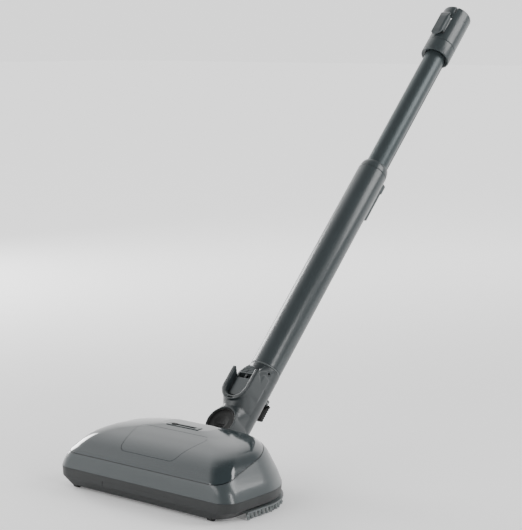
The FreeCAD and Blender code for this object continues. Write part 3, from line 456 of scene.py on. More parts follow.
def skin_step(t):
    """The four values at a place between steps, on a smooth curve through all of them: each
    stretch is a cubic whose slopes at its ends are half the difference of the steps either side."""
    last = len(SKIN_STEPS) - 1
    k = np.clip(np.floor(t).astype(int), 0, last - 1)
    f = (t - k)[..., None]
    before = SKIN_STEPS[np.maximum(k - 1, 0)]
    here, after = SKIN_STEPS[k], SKIN_STEPS[k + 1]
    beyond = SKIN_STEPS[np.minimum(k + 2, last)]
    m0, m1 = (after - before) / 2, (beyond - here) / 2
    return (here * (2 * f**3 - 3 * f**2 + 1) + m0 * (f**3 - 2 * f**2 + f)
            + after * (3 * f**2 - 2 * f**3) + m1 * (f**3 - f**2))


def skin_columns():
    """Which stretch of the outline each column runs on, and how far along it, for the head's
    right half. One more column ends the last stretch."""
    kind = np.concatenate([np.full(n, i) for i, n in enumerate(COLUMN_COUNTS)] + [[4]])
    along = np.concatenate([np.arange(n) / n for n in COLUMN_COUNTS] + [[1.0]])
    return kind, along


def skin(t, kind, along, inset=0.0):
    """Points of the head's skin in row coordinates. At each height the outline is a rectangle with
    large round rear corners and smaller front ones; kind and along say where on it a point is."""
    rise, side, front, rear = np.moveaxis(skin_step(t), -1, 0)
    half = HEAD_HALF - side - inset
    y0 = HEAD_FRONT + front + inset
    y1 = HEAD_REAR - rear - inset
    depth = y1 - y0
    rf, rr = (np.minimum(radius, np.minimum(of_depth * depth, of_half * half))
              for radius, (of_depth, of_half) in ((FRONT_CORNER, FRONT_SHARES),
                                                  (REAR_CORNER, REAR_SHARES)))
    a = along * math.pi / 2
    x = np.select([kind == 0, kind == 1, kind == 2, kind == 3],
                  [along * (half - rf), half - rf + rf * np.sin(a), half,
                   half - rr + rr * np.cos(a)], (1 - along) * (half - rr))
    y = np.select([kind == 0, kind == 1, kind == 2, kind == 3],
                  [y0, y0 + rf - rf * np.cos(a), y0 + rf + along * (depth - rf - rr),
                   y1 - rr + rr * np.sin(a)], y1)
    z = BELT_LINE + rise * (1 - inset / CREST)
    return np.stack(np.broadcast_arrays(x, y, z), axis=-1)


def hood_edge(y):
    """Height of the sloping line that parts hood and shell."""
    return HOOD_LINE_FRONT + (y - HEAD_FRONT) * HOOD_LINE_RISE


def whole_ring(half_points):
    """A closed ring from its right half: the left half is the mirror image, in reverse order."""
    left = half_points[:, 1:-1][:, ::-1] * np.array([-1.0, 1.0, 1.0])
    return np.concatenate([half_points, left], axis=1)


def skin_split(offset):
    """For each column, the place where the skin crosses the hood line moved up by offset."""
    kind, along = skin_columns()
    samples = 500
    t = np.linspace(0, len(SKIN_STEPS) - 1, samples)[:, None]
    points = skin(t, kind[None, :], along[None, :])
    above = points[..., 2] - hood_edge(points[..., 1]) - offset
    first = np.argmax(above > 0, axis=0)
    cols = np.arange(len(kind))
    low, high = above[first - 1, cols], above[first, cols]
    return t[first - 1, 0] + (t[1, 0] - t[0, 0]) * (-low) / (high - low)


def skin_patch(name, t_from, t_to, rows, inset=0.0, crown=False):
    """The skin between two places per column, evenly spaced, with the crown closed to a point on
    a flat paraboloid where asked."""
    kind, along = skin_columns()
    s = np.linspace(0, 1, rows)[:, None]
    t = t_from + (t_to - t_from) * s
    rings = whole_ring(skin(t, kind[None, :], along[None, :], inset))
    if crown:
        top = rings[-1]
        centre = top.mean(axis=0)
        shrink = np.linspace(1, 0, CROWN_RINGS)[1:, None, None]
        rise = np.array([0, 0, CROWN_RISE])
        cap = centre + (top[None] - centre) * shrink + rise * (1 - shrink**2)
        rings = np.concatenate([rings, cap])
    return surface(name, rings)


def walled(piece, thickness):
    """Gives an open skin a wall on its inner side."""
    solidify = piece.modifiers.new("wall", "SOLIDIFY")
    solidify.thickness = thickness
    solidify.offset = -1.0
    return settled(piece)


def box_solid(name, low, high):
    """A closed box between two corners, as a cutter."""
    (x0, y0, z0), (x1, y1, z1) = low, high
    return slab(name, [(x0, y0, z0), (x1, y0, z0), (x1, y1, z0), (x0, y1, z0)], (0, 0, z1 - z0))


def bundles(name, roots, tips, radius, sides=5, rings=4, droop=0.0):
    """Many thin tapering fibres as one mesh. Each runs from its root to its tip along a line that
    droops by a parabola, with a small polygon for its section that narrows to two thirds."""
    n = len(roots)
    axis = tips - roots
    length = np.linalg.norm(axis, axis=1, keepdims=True)
    axis = axis / length
    helper = np.where(np.abs(axis[:, 2:3]) > 0.8, [[1.0, 0, 0]], [[0, 0, 1.0]])
    u = np.cross(axis, helper)
    u /= np.linalg.norm(u, axis=1, keepdims=True)
    v = np.cross(axis, u)
    s = np.linspace(0, 1, rings)
    a = np.linspace(0, 2 * math.pi, sides, endpoint=False)
    centre = roots[:, None] + (tips - roots)[:, None] * s[None, :, None]
    centre = centre + droop * (s * (1 - s))[None, :, None] * u[:, None]
    girth = radius * (1 - s / 3)
    ring = (u[:, None, None] * np.cos(a)[None, None, :, None]
            + v[:, None, None] * np.sin(a)[None, None, :, None]) * girth[None, :, None, None]
    points = (centre[:, :, None] + ring).reshape(-1, 3)
    f = np.arange(n)[:, None, None] * rings * sides
    i = np.arange(rings - 1)[None, :, None] * sides
    j = np.arange(sides)[None, None, :]
    k = (j + 1) % sides
    quads = np.stack([f + i + j, f + i + k, f + i + sides + k, f + i + sides + j], axis=-1)
    faces = quads.reshape(-1, 4).tolist()
    ends = f[:, 0] + (rings - 1) * sides + np.arange(sides)[None, :]
    faces += ends.tolist() + (f[:, 0] + np.arange(sides)[None, ::-1]).tolist()
    return smoothed(new_piece(name, points.tolist(), faces))


# ---- the head's pieces -----------------------------------------------------------------------
NOTCH_HALF = 0.034                     # half the width of the neck's room
NOTCH_FRONT = HEAD_REAR - 0.033
EAR_INNER = 0.0335                     # inner face of each pivot ear
EAR_GAP = 2 * MM
PANEL_FRONT_HALF, PANEL_REAR_HALF = 0.056, 0.075
PANEL_FRONT, PANEL_REAR = HEAD_FRONT + 0.019, HEAD_FRONT + 0.087
PANEL_CORNER = 0.012
PANEL_GROOVE_HALF = 0.35 * MM          # half the width of the line round the panel
BEZEL_LIP = 2.7 * MM                   # how far the hood laps over the height bezel
SEAM_SHADE_HALF = 3 * MM                      # half the height of a black strip just inside the seam under the hood's edge: a dark sheet behind the gap as painted shade


def notch_cutter():
    """The room at the rear that the neck swings in."""
    return box_solid("notch", (-NOTCH_HALF, NOTCH_FRONT, 0.0), (NOTCH_HALF, CLEAR_REAR, CLEAR_TOP))


def ear_cutters():
    """Room round the two pivot ears."""
    low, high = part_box("pivot_caps")
    cutters = []
    for sign in (-1, 1):
        xs = sorted((sign * (EAR_INNER - EAR_GAP), sign * (high.x + EAR_GAP)))
        cutters.append(box_solid("ear", (xs[0], low.y - 3 * MM, 0.02),
                                 (xs[1], CLEAR_REAR, high.z + EAR_GAP)))
    return cutters


def with_rear_room(piece):
    """Takes the neck's room and the ears' from a piece of the skin."""
    for cutter in [notch_cutter(), *ear_cutters()]:
        carved(piece, cutter)
    return piece


def panel_prism(margin):
    """A cutter with the hood panel's outline, wider by a margin: a trapezium with rounded corners,
    wider at the rear. Each corner is an arc tangent to both of its sides."""
    front_half, rear_half = PANEL_FRONT_HALF + margin, PANEL_REAR_HALF + margin
    y0, y1 = PANEL_FRONT - margin, PANEL_REAR + margin
    corners = np.array([(-front_half, y0), (front_half, y0), (rear_half, y1), (-rear_half, y1)])
    radius = PANEL_CORNER + margin
    arcs = []
    for i in range(4):
        here, before, after = corners[i], corners[i - 1], corners[(i + 1) % 4]
        a = (before - here) / np.linalg.norm(before - here)
        b = (after - here) / np.linalg.norm(after - here)
        half_turn = math.acos(np.clip(a @ b, -1, 1)) / 2
        reach = radius / math.tan(half_turn)
        centre = here + (a + b) / np.linalg.norm(a + b) * radius / math.sin(half_turn)
        start, end = here + a * reach - centre, here + b * reach - centre
        f = np.linspace(0, 1, 12)[:, None]
        arc = start * (1 - f) + end * f
        arcs.append(centre + arc / np.linalg.norm(arc, axis=1, keepdims=True) * radius)
    flat = np.vstack(arcs)
    return slab("panel_prism", np.column_stack([flat, np.full(len(flat), 0.03)]), (0, 0, 0.1))


class MESH_OT_covers(bpy.types.Operator):
    """Hood with the groove round its panel, and the middle shell, on one smooth skin"""
    bl_idname = "mesh.power_head_covers"
    bl_label = "Covers"

    def execute(self, context):
        settings = context.scene.power_head_covers
        crest = len(SKIN_STEPS) - 1
        hood_from = skin_split(settings.seam / 2)
        hood = welded(skin_patch("hood", hood_from, crest, settings.rows, crown=True))
        hood = welded(walled(hood, settings.wall))
        with_rear_room(hood)
        groove = skin_patch("groove", hood_from, crest, settings.rows, inset=-0.2 * MM, crown=True)
        groove = welded(walled(welded(groove), 1.0 * MM))
        carved(groove, panel_prism(PANEL_GROOVE_HALF), "INTERSECT")
        carved(groove, panel_prism(-PANEL_GROOVE_HALF))
        carved(hood, groove)
        low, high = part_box("height_bezel")
        carved(hood, box_solid("bezel_slot", (low.x + BEZEL_LIP, low.y + BEZEL_LIP, 0.05),
                               (high.x - BEZEL_LIP, high.y - BEZEL_LIP, CLEAR_TOP)))
        dress(shaded(hood, angle=30), "smoke")
        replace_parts(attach(hood, "base"), "hood_cover", "hood_panel")

        shell_to = skin_split(-settings.seam / 2)
        shell = welded(walled(skin_patch("shell", 0.0, shell_to, 40), settings.wall))
        dress(shaded(with_rear_room(shell), angle=30), "slate")
        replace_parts(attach(shell, "base"), "middle_shell")

        # A black strip 2.4 mm inside the skin across the seam between hood and shell: painted shade
        # that darkens the gap.
        seam_shade = skin_patch("hood_seam_shade", skin_split(-SEAM_SHADE_HALF), skin_split(SEAM_SHADE_HALF), 4,
                         inset=2.4 * MM)
        seam_shade = carved(welded(walled(seam_shade, 0.8 * MM)), notch_cutter())
        dress(seam_shade, "black")
        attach(seam_shade, "base")
        return {"FINISHED"}


SKIRT_INSET = 2.8 * MM          # from the base's outline in to the row of tufts
SKIRT_PITCH = 8.6 * MM
SKIRT_SPLAY = 1.35              # a tip's distance from its tuft's middle, over its root's
WHEEL_GAP = 14 * MM             # no tuft stands nearer than this to a wheel's middle
TUFT_RADIUS = 1.9 * MM
GOLDEN_ANGLE = 2.39996          # between one fibre and the next, which fills a disc evenly
ROLL_TUFTS = 23                 # in each of the roll's two spiral rows
ROLL_TURN = math.radians(300)   # how far a row winds round the roll from end to end
ROLL_TUFT_RADIUS = 1.8 * MM
ROLL_SPLAY = (1.4, 1.5)         # the same for its tips, along the roll and round it
SKIRT_GIRTH, ROLL_GIRTH = 1.35, 0.8   # each brush's fibre thickness over the one that is set


def outline_path(inset, pitch):
    """Places at an even pitch along the base's outline, right side from the front round to the
    rear centre, and mirrored; each row is x, y and the outward direction."""
    kind, along = skin_columns()
    ring = skin(np.zeros(1)[:, None], kind[None, :], along[None, :], inset)[0, :, :2]
    step = np.linalg.norm(np.diff(ring, axis=0), axis=1)
    at = np.concatenate([[0], np.cumsum(step)])
    places = np.arange(at[-1], 0, -pitch)
    x = np.interp(places, at, ring[:, 0])
    y = np.interp(places, at, ring[:, 1])
    ahead = np.column_stack([np.interp(places - MM, at, ring[:, 0]) - x,
                             np.interp(places - MM, at, ring[:, 1]) - y])
    ahead /= np.linalg.norm(ahead, axis=1, keepdims=True)
    out = np.column_stack([-ahead[:, 1], ahead[:, 0]])
    out *= np.sign(np.sum(out * np.column_stack([x, y - HEAD_FRONT - HEAD_DEPTH / 2]), axis=1,
                          keepdims=True))
    right = np.column_stack([x, y, out])
    left = right[1:] * np.array([-1, 1, -1, 1])
    return np.vstack([right, left])


def tuft_disc(count, radius):
    """Distances and angles of a tuft's fibres about its middle, on a sunflower spiral."""
    n = np.arange(count)
    return radius * np.sqrt((n + 0.5) / count), n * GOLDEN_ANGLE


def skirt_fibres(settings):
    """Roots and tips of the skirt's fibres: each tuft leans outwards by an amount of its own, and
    its tips end at slightly different heights. The sines' odd factors only scatter the values."""
    path = outline_path(SKIRT_INSET, SKIRT_PITCH)
    wheel_low, wheel_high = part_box("rear_wheel_right")
    wheel_x = (wheel_low.x + wheel_high.x) / 2
    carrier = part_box("skirt_carrier")[0]
    path = path[(path[:, 1] > carrier.y + 3 * MM)
                & (np.abs(np.abs(path[:, 0]) - wheel_x) > WHEEL_GAP)]
    distance, turn = tuft_disc(settings.fibres, TUFT_RADIUS)
    fibre_index = np.arange(settings.fibres)[None, :]
    tuft = np.arange(len(path))[:, None]
    angle = turn[None, :] + np.sin(tuft * 12.9898) * 0.5
    lean = settings.spread * (1.1 + 0.6 * np.sin(tuft * 4.1))
    px, py = distance[None, :] * np.cos(angle), distance[None, :] * np.sin(angle)
    ragged = 0.8 * MM * (0.5 + 0.5 * np.sin(tuft * 7.7 + fibre_index * 3.3))
    roots = np.stack([path[:, 0:1] + px, path[:, 1:2] + py,
                      np.full(px.shape, carrier.z + 1 * MM)], -1)
    tips = np.stack([path[:, 0:1] + px * SKIRT_SPLAY + path[:, 2:3] * lean,
                     path[:, 1:2] + py * SKIRT_SPLAY + path[:, 3:4] * lean,
                     0.4 * MM + ragged], -1)
    return roots.reshape(-1, 3), tips.reshape(-1, 3)


def roll_fibres(settings):
    """Roots and tips of the brush roll's fibres: two rows of tufts wind round the core, opposite
    each other, and each tuft fans out towards its tips."""
    low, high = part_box("brush_core")
    bristle_low, bristle_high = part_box("brush_bristles")
    centre_y, centre_z = (low.y + high.y) / 2, (low.z + high.z) / 2
    core, reach = (high.z - low.z) / 2, centre_z - bristle_low.z
    start, end = bristle_low.x + 2.2 * MM, bristle_high.x - 2.2 * MM
    k = np.tile(np.arange(ROLL_TUFTS), 2)
    row = np.repeat([0.0, math.pi], ROLL_TUFTS)
    tuft_angle = (row + ROLL_TURN * k / (ROLL_TUFTS - 1))[:, None]
    tuft_x = (start + (end - start) * k / (ROLL_TUFTS - 1))[:, None]
    distance, turn = tuft_disc(settings.fibres, ROLL_TUFT_RADIUS)
    dx = (distance * np.cos(turn))[None, :]
    da = (distance * np.sin(turn) / core)[None, :]

    def ring(radius, along_fan, round_fan):
        angle = tuft_angle + da * round_fan
        return np.stack([tuft_x + dx * along_fan, centre_y - radius * np.sin(angle),
                         centre_z + radius * np.cos(angle)], -1).reshape(-1, 3)

    return ring(core - 1 * MM, 1.0, 1.0), ring(reach - 0.2 * MM, *ROLL_SPLAY)


class MESH_OT_brushes(bpy.types.Operator):
    """The soft skirt round the rear and the bristles of the brush roll"""
    bl_idname = "mesh.power_head_brushes"
    bl_label = "Brushes"

    def execute(self, context):
        settings = context.scene.power_head_brushes
        skirt = bundles("skirt_pile", *skirt_fibres(settings),
                        settings.fibre_radius * SKIRT_GIRTH, droop=1.2 * MM)
        dress(skirt, "pile")
        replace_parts(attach(skirt, "base"), "skirt_tufts")
        bristles = bundles("roll_bristles", *roll_fibres(settings),
                           settings.fibre_radius * ROLL_GIRTH)
        dress(bristles, "bristle")
        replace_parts(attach(bristles, "brush_roll"), "brush_bristles")
        return {"FINISHED"}


# ---- neck and wand ---------------------------------------------------------------------------
# Places on the neck and wand, in millimetres in wand coordinates.
NECK_RADIUS = 26.6
NECK_BORE = 24.3
BOWL_STATION = 37                         # middle of the round bowl that the toe pedal sits in
BOWL_RIM, BOWL_BORE = 26.8, 25.6
BOWL_FLOOR = -26.8
CRADLE_STATION = 102.5                    # middle of the round foot of the button's cradle
CRADLE_RIM, CRADLE_BORE = 26.0, 19.6
BOWL_FRONT, CRADLE_FRONT, CRADLE_FLOOR = -35.0, -41.5, -31.9
WAIST = (26.0, 38.0)                      # half width and reach forwards where the hulls meet
WEB_FRONTS = ((-1, -31.5), (1, -41.0))    # each web beside the cradle: its side and front edge
WINDOW_STATION, WINDOW_RADIUS = 147, 2.3
WINDOW_AIM = (0.844, -0.537)              # the small round window looks this way
PEDAL_BORE, PEDAL_FLOOR = 25.5, -27.4
IN_FRONT, CASING_FRONT = -90, -60         # clear of the neck's front


def moulded_copy(name, nodes, body, finish, voxel, passes):
    """A rounded skin over CAD nodes that takes their place."""
    piece = melted(cad_copy(name, nodes), voxel, passes)
    dress(piece, finish)
    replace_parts(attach(piece, body), *nodes)
    return piece


def wand_prism(name, outline, depth):
    """A closed prism from wand coordinates in millimetres: outline rows are (x, y, s)."""
    x, y, s = (np.array(outline, float) * MM).T
    return slab(name, wand_point(x, y, s), sum(
        d * MM * v for d, v in zip(depth, (ACROSS, INWARD, ALONG))))


def wand_box(name, x0, x1, y0, y1, s0, s1):
    """A closed box in wand coordinates."""
    return wand_prism(name, [(x0, y0, s0), (x1, y0, s0), (x1, y1, s0), (x0, y1, s0)],
                      (0, 0, s1 - s0))


def wand_disc(name, radius, y0, y1, centre, segments=64):
    """A round cutter that points straight into the wand's front."""
    a = np.linspace(0, 2 * math.pi, segments, endpoint=False)
    return wand_prism(name, np.column_stack([radius * np.cos(a), np.full(segments, y0),
                                             centre + radius * np.sin(a)]), (0, y1 - y0, 0))


def wand_rod(name, radius, s0, s1, segments=64):
    """A round cutter along the wand's axis."""
    a = np.linspace(0, 2 * math.pi, segments, endpoint=False)
    return wand_prism(name, np.column_stack([radius * np.cos(a), radius * np.sin(a),
                                             np.full(segments, s0)]), (0, 0, s1 - s0))


def rounded_prism(name, half, low, high, radius):
    """A cutter across the whole wand whose outline, seen from its front, is a rectangle with round
    corners."""
    quarter = np.linspace(0, math.pi / 2, 8)
    outline = []
    for x, s, first in ((half - radius, high - radius, 0), (radius - half, high - radius, 1),
                        (radius - half, low + radius, 2), (half - radius, low + radius, 3)):
        for a in quarter + first * math.pi / 2:
            outline.append((x + radius * math.cos(a), -60, s + radius * math.sin(a)))
    return wand_prism(name, outline, (0, 120, 0))


def hull_solid(name, rows):
    """The convex hull of points in wand coordinates, in millimetres."""
    mesh = bmesh.new()
    for point in wand_point(*(np.array(rows) * MM).T):
        mesh.verts.new(point)
    bmesh.ops.convex_hull(mesh, input=mesh.verts)
    bmesh.ops.delete(mesh, geom=[v for v in mesh.verts if not v.link_faces], context="VERTS")
    solid = new_piece(name, [], [])
    mesh.to_mesh(solid.data)
    mesh.free()
    return outward(solid)


def neck_section(x_half, y_front, station):
    """The front half of an ellipse across the neck."""
    return [(x_half * math.cos(v), y_front * math.sin(v), station)
            for v in np.linspace(math.pi, 2 * math.pi, 30)]


def cradle_web(side, front):
    """One of the two webs that rise beside the cradle and lean back towards its top."""
    low = [(side * x, y, 120) for x, y in ((19, front), (26.8, front), (26.9, -2), (19, -2))]
    middle = [(side * x, y, 137) for x, y in ((17, front + 2), (24.5, front + 3))]
    high = [(side * x, y, 158.5) for x, y in ((15.6, -21.6), (21, -16.3), (25, -9), (26.5, -2),
                                              (15.6, -2))]
    return hull_solid("web", low + middle + high)


def window_cutter():
    """A round hole through the neck's side, from inside the bore to clear of the casing."""
    aim_x, aim_y = WINDOW_AIM
    points = []
    for reach in (20, 50):
        for v in np.linspace(0, 2 * math.pi, 48, endpoint=False):
            off = WINDOW_RADIUS * math.cos(v)
            points.append((reach * aim_x - off * aim_y, reach * aim_y + off * aim_x,
                           WINDOW_STATION + WINDOW_RADIUS * math.sin(v)))
    return hull_solid("window", points)


def neck_throat():
    """The smooth swelling between the pedal's bowl and the cradle: two hulls that meet in a waist,
    one round the bowl's rim and one round the cradle's foot, and the two webs beside the cradle,
    with the pockets taken out again."""
    bowl = [(BOWL_RIM * math.cos(v), BOWL_FRONT, BOWL_STATION + BOWL_RIM * math.sin(v))
            for v in np.linspace(0, 2 * math.pi, 48, endpoint=False)]
    foot = [(CRADLE_RIM * math.cos(v), CRADLE_FRONT, CRADLE_STATION + CRADLE_RIM * math.sin(v))
            for v in np.linspace(math.pi, 2 * math.pi, 30)]
    webs = [cradle_web(side, front) for side, front in WEB_FRONTS]
    hulls = [hull_solid("bowl_side", bowl + neck_section(NECK_RADIUS, NECK_RADIUS, 12)
                        + neck_section(*WAIST, 73)),
             hull_solid("cradle_side", foot + neck_section(*WAIST, 67)
                        + neck_section(NECK_RADIUS, NECK_RADIUS, 122))]
    for hull in hulls:
        melted(hull, 1.4 * MM, 24)
    pieces = hulls + webs
    cutters = (wand_disc("bowl", BOWL_BORE, IN_FRONT, BOWL_FLOOR, BOWL_STATION),
               wand_disc("recess", CRADLE_BORE, IN_FRONT, CRADLE_FLOOR, CRADLE_STATION),
               wand_box("recess_top", -CRADLE_BORE, CRADLE_BORE, IN_FRONT, CRADLE_FLOOR,
                        CRADLE_STATION, 200),
               wand_rod("bore", NECK_BORE, -50, 250, segments=48),
               window_cutter())
    for cutter in cutters:
        for piece in pieces:
            carved(piece, twin(cutter.name + "_spare", cutter))
        bpy.data.objects.remove(cutter)
    return pieces


class MESH_OT_neck(bpy.types.Operator):
    """Neck casing with its cradle, the release button, toe pedal and rear lever"""
    bl_idname = "mesh.power_head_neck"
    bl_label = "Neck"

    def execute(self, context):
        halves = ["neck_front_shell", "neck_rear_shell"]
        casing = joined("neck_casing", [cad_copy("neck_halves", halves)] + neck_throat())
        melted(casing, 1.04 * MM, 9)
        carved(casing, wand_disc("pedal_room", PEDAL_BORE, CASING_FRONT, PEDAL_FLOOR,
                                 BOWL_STATION))
        carved(casing, wand_box("cradle_slot", -5, 5, CASING_FRONT, CRADLE_FRONT, 77.6, 80.2))
        dress(shaded(casing, angle=50), "neck")
        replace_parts(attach(casing, "neck"), *halves)
        moulded_copy("cradle_insert", ["cradle_plate"], "neck", "slate",
                     0.35 * MM, 2)
        moulded_copy("ribbed_release_button", ["release_button"], "release",
                     "slate", 0.3 * MM, 2)
        moulded_copy("toe_pedal_cap", ["toe_pedal"], "pedal", "acetal",
                     0.42 * MM, 2)
        moulded_copy("ribbed_rear_lever", ["rear_lever"], "lever", "acetal",
                     0.4 * MM, 2)
        return {"FINISHED"}


def tube_piece(name, profile, segments, node, body, finish):
    """A turned piece with a closed wall, from a profile in millimetres, that takes a CAD node's
    place."""
    rows = [(r * MM, s * MM) for r, s in profile]
    piece = turned(name, rows + rows[:1], segments)
    welded(piece)
    dress(shaded(piece, angle=30), finish)
    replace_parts(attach(piece, body), node)
    return piece


def rounded(outer, inner, low, high, edge):
    """A tube's closed profile with rounded rims: up the outside, over the rim and down the bore."""
    turn = np.linspace(0, math.pi / 2, 5)
    points = []
    for r_edge, s_edge, sign_r, sign_s, sweep in (
            (outer, low, -1, 1, turn[::-1]), (outer, high, -1, -1, turn)):
        for a in sweep:
            points.append((r_edge + sign_r * edge * (1 - math.cos(a)),
                           s_edge + sign_s * edge * (1 - math.sin(a))))
    points += [(inner, high), (inner, low)]
    return points


# Turned profiles: radius and station in millimetres, up the outside and down the bore.
SPIGOT_PROFILE = [(23.9, 122), (23.9, 160.4), (26.0, 160.4), (26.4, 160.9), (26.4, 162.2),
                  (26.0, 162.7), (23.9, 162.7), (23.9, 175), (21.5, 175), (21.5, 122)]
LOWER_TUBE_PROFILE = rounded(26.5, 24.5, 163.0, 585.8, 0.5)
BUSH_PROFILE = [(26.3, 586.2), (26.5, 586.7), (26.4, 588.5), (25.6, 594), (24.4, 599),
                (23.4, 600.7), (22.4, 601), (19.1, 601), (19.1, 578), (24.4, 578), (24.4, 586.2)]
UPPER_TUBE_PROFILE = rounded(19.0, 18.0, 455.0, 905.0, 0.3)
SLEEVE_PROFILE = [(26.2, 865), (26.9, 865.4), (27.2, 866.4), (27.2, 892.0), (26.8, 892.5),
                  (19.05, 892.5), (19.05, 869.5), (20.2, 867.4), (24.6, 865.3), (25.4, 865)]
LOCK_TUBE_ROOM = 25.6           # radius kept clear inside the lock housing's root
LATCH_HALF, LATCH_ENDS, LATCH_CORNER = 11.2, (896.8, 953.2), 8.5


class MESH_OT_wand(bpy.types.Operator):
    """Both wand tubes, their joints, the telescope lock and the latched collar"""
    bl_idname = "mesh.power_head_wand"
    bl_label = "Wand"

    def execute(self, context):
        segments = context.scene.power_head_wand.segments
        for name, profile, node, body, slot, finish in (
                # The spigot's ring at the neck's seam is light grey as a painted highlight.
                ("wand_spigot_turned", SPIGOT_PROFILE, "wand_spigot", "lower_wand",
                 "wand_plastic", "rim"),
                ("lower_tube_moulded", LOWER_TUBE_PROFILE, "lower_tube", "lower_wand",
                 "wand_plastic", "wand"),
                ("shoulder_bush_moulded", BUSH_PROFILE, "shoulder_bush", "lower_wand",
                 "wand_plastic", "wand"),
                ("upper_tube_drawn", UPPER_TUBE_PROFILE, "upper_tube", "upper_wand",
                 "wand_metal", "anodised")):
            tube_piece(name, profile, segments, node, body, finish)

        lock_root = carved(wand_box("lock_root", -15, 15, 12, 31.5, 566, 583.5),
                           wand_rod("tube_room", LOCK_TUBE_ROOM, 500, 620))
        housing = joined("telescope_lock_housing", [cad_copy("lock_body", ["lock_housing"]),
                                                    lock_root])
        dress(melted(housing, 0.5 * MM, 7), "wand")
        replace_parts(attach(housing, "lower_wand"), "lock_housing")
        moulded_copy("telescope_lock_button", ["lock_button"], "lock", "acetal",
                     0.35 * MM, 2)

        latch = carved(cad_copy("collar_latch_button", ["collar_latch"]),
                       rounded_prism("latch_ends", LATCH_HALF, *LATCH_ENDS, LATCH_CORNER),
                       "INTERSECT")
        dress(melted(latch, 0.45 * MM, 9), "wand")
        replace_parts(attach(latch, "latch"), "collar_latch")
        moulded_copy("collar_moulded_head", ["collar_head"], "upper_wand", "wand",
                     0.8 * MM, 2)
        tube_piece("collar_moulded_sleeve", SLEEVE_PROFILE, segments, "collar_sleeve",
                   "upper_wand", "wand")
        return {"FINISHED"}


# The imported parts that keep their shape, by finish.
CARRIED = {
    "black": ["base_housing", "screw_bosses", "front_plate", "motor_cradle", "brush_chamber",
              "suction_duct", "board_standoffs", "pivot_caps", "brush_pulley"],
    "acetal": ["height_slider"],
    "steel": ["sole_plate", "sole_screws", "wheel_pins", "roller_pins", "brush_shaft",
              "motor_shaft", "motor_pulley", "release_spring", "lever_pin", "lock_spring"],
    "can": ["motor_can", "brush_core"],
    "bronze": ["brush_bearings"],
    "rubber": ["drive_belt", "rear_wheel_left", "rear_wheel_right", "front_roller_left",
               "front_roller_right"],
    "board": ["circuit_board"],
    "rim": ["skirt_carrier"],
    "wand": ["upper_rail", "height_bezel"],
}


class MESH_OT_carried(bpy.types.Operator):
    """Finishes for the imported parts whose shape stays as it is"""
    bl_idname = "mesh.power_head_carried"
    bl_label = "Carried-over parts"

    def execute(self, context):
        for finish, nodes in CARRIED.items():
            for node in nodes:
                dress(frame["nodes"][node], finish)
        return {"FINISHED"}


# ---- floor, light and camera -----------------------------------------------------------------
FLOOR_HALF, FLOOR_THICKNESS = 30.0, 0.02
WHITE = (1.0, 1.0, 1.0, 1.0)
BACKDROP_AIM = (-0.636, 0.772, 0.0)     # the floor grows lighter this way, as towards a lit wall
BACKDROP_FROM, BACKDROP_TO = 0.3, 2.6   # metres from the middle along that way
NEAR_GLOW = 0.1
ROOM_AIM = (0.68, -0.22, 0.70)          # the room is darkest this way, so the hood's top stays dark
ROOM_FROM, ROOM_TO = -0.05, 0.62        # where it starts and stops dimming, as cosines
ROOM_BRIGHT, ROOM_DARK = 1.55, 0.22
SOFTBOX_AIM = (0, 0, 0.3)
SOFTBOXES = (                           # name, place, size and share of the key light's power
    ("left", (-2.6, 0.3, 0.9), (1.0, 1.4), 1.1),
    ("right", (1.9, 1.3, 1.8), (1.3, 1.5), 0.75),
    ("stripe", (2.6, -0.5, 0.9), (0.6, 1.6), 0.5),
    ("front", (-0.6, -3.0, 1.6), (2.4, 1.2), 0.5))
CAMERA_LENS, CAMERA_SENSOR = 108.7, 36.0       # millimetres
CAMERA_AZIMUTH, CAMERA_ELEVATION = 39.5, 8.2   # degrees
CAMERA_FROM_HEAD = (1.6376, -1.8827, 0.7052)   # metres from the floor under the head's rear wall


def smooth_step(tree, vector, direction, inputs, outputs):
    """A number that goes smoothly from one output to the other as a vector's share along a
    direction, their dot product, goes from one input to the other."""
    share = add_node(tree, "ShaderNodeVectorMath", {0: vector}, operation="DOT_PRODUCT",
                     in1=direction)
    ramp = add_node(tree, "ShaderNodeMapRange", {"Value": share.outputs["Value"]},
                    interpolation_type="SMOOTHSTEP", From_Min=inputs[0], From_Max=inputs[1],
                    To_Min=outputs[0], To_Max=outputs[1])
    return ramp.outputs[0]


def lay_floor(settings):
    """A pale paper floor with a faint mottle, which glows far behind the product."""
    half = FLOOR_HALF
    low = -FLOOR_THICKNESS
    floor = slab("floor", [(-half, -half, low), (half, -half, low), (half, half, low),
                           (-half, half, low)], (0, 0, FLOOR_THICKNESS))
    material, tree, shader, place = new_material("floor_paper")
    mottle = add_node(tree, "ShaderNodeTexNoise", {"Vector": place}, Scale=3.0, Detail=3.0)
    mix = add_node(tree, "ShaderNodeMix", {0: mottle.outputs["Fac"]}, data_type="RGBA",
                   in6=(*settings.floor, 1.0), in7=(*(c * 1.02 for c in settings.floor), 1.0))
    tree.links.new(mix.outputs[2], shader.inputs["Base Color"])
    shader.inputs["Roughness"].default_value = 0.9
    glow = smooth_step(tree, place, BACKDROP_AIM, (BACKDROP_FROM, BACKDROP_TO),
                       (NEAR_GLOW, settings.far_glow))
    tree.links.new(glow, shader.inputs["Emission Strength"])
    shader.inputs["Emission Color"].default_value = WHITE
    floor.data.materials.append(material)


def light_room(scene):
    """A white room that dims towards one side, which gives the gloss something to show."""
    world = bpy.data.worlds.new("studio")
    scene.world = world
    world.use_nodes = True
    tree = world.node_tree
    background = tree.nodes["Background"]
    background.inputs[0].default_value = WHITE
    place = add_node(tree, "ShaderNodeTexCoord").outputs["Generated"]
    strength = smooth_step(tree, place, ROOM_AIM, (ROOM_FROM, ROOM_TO), (ROOM_BRIGHT, ROOM_DARK))
    tree.links.new(strength, background.inputs[1])


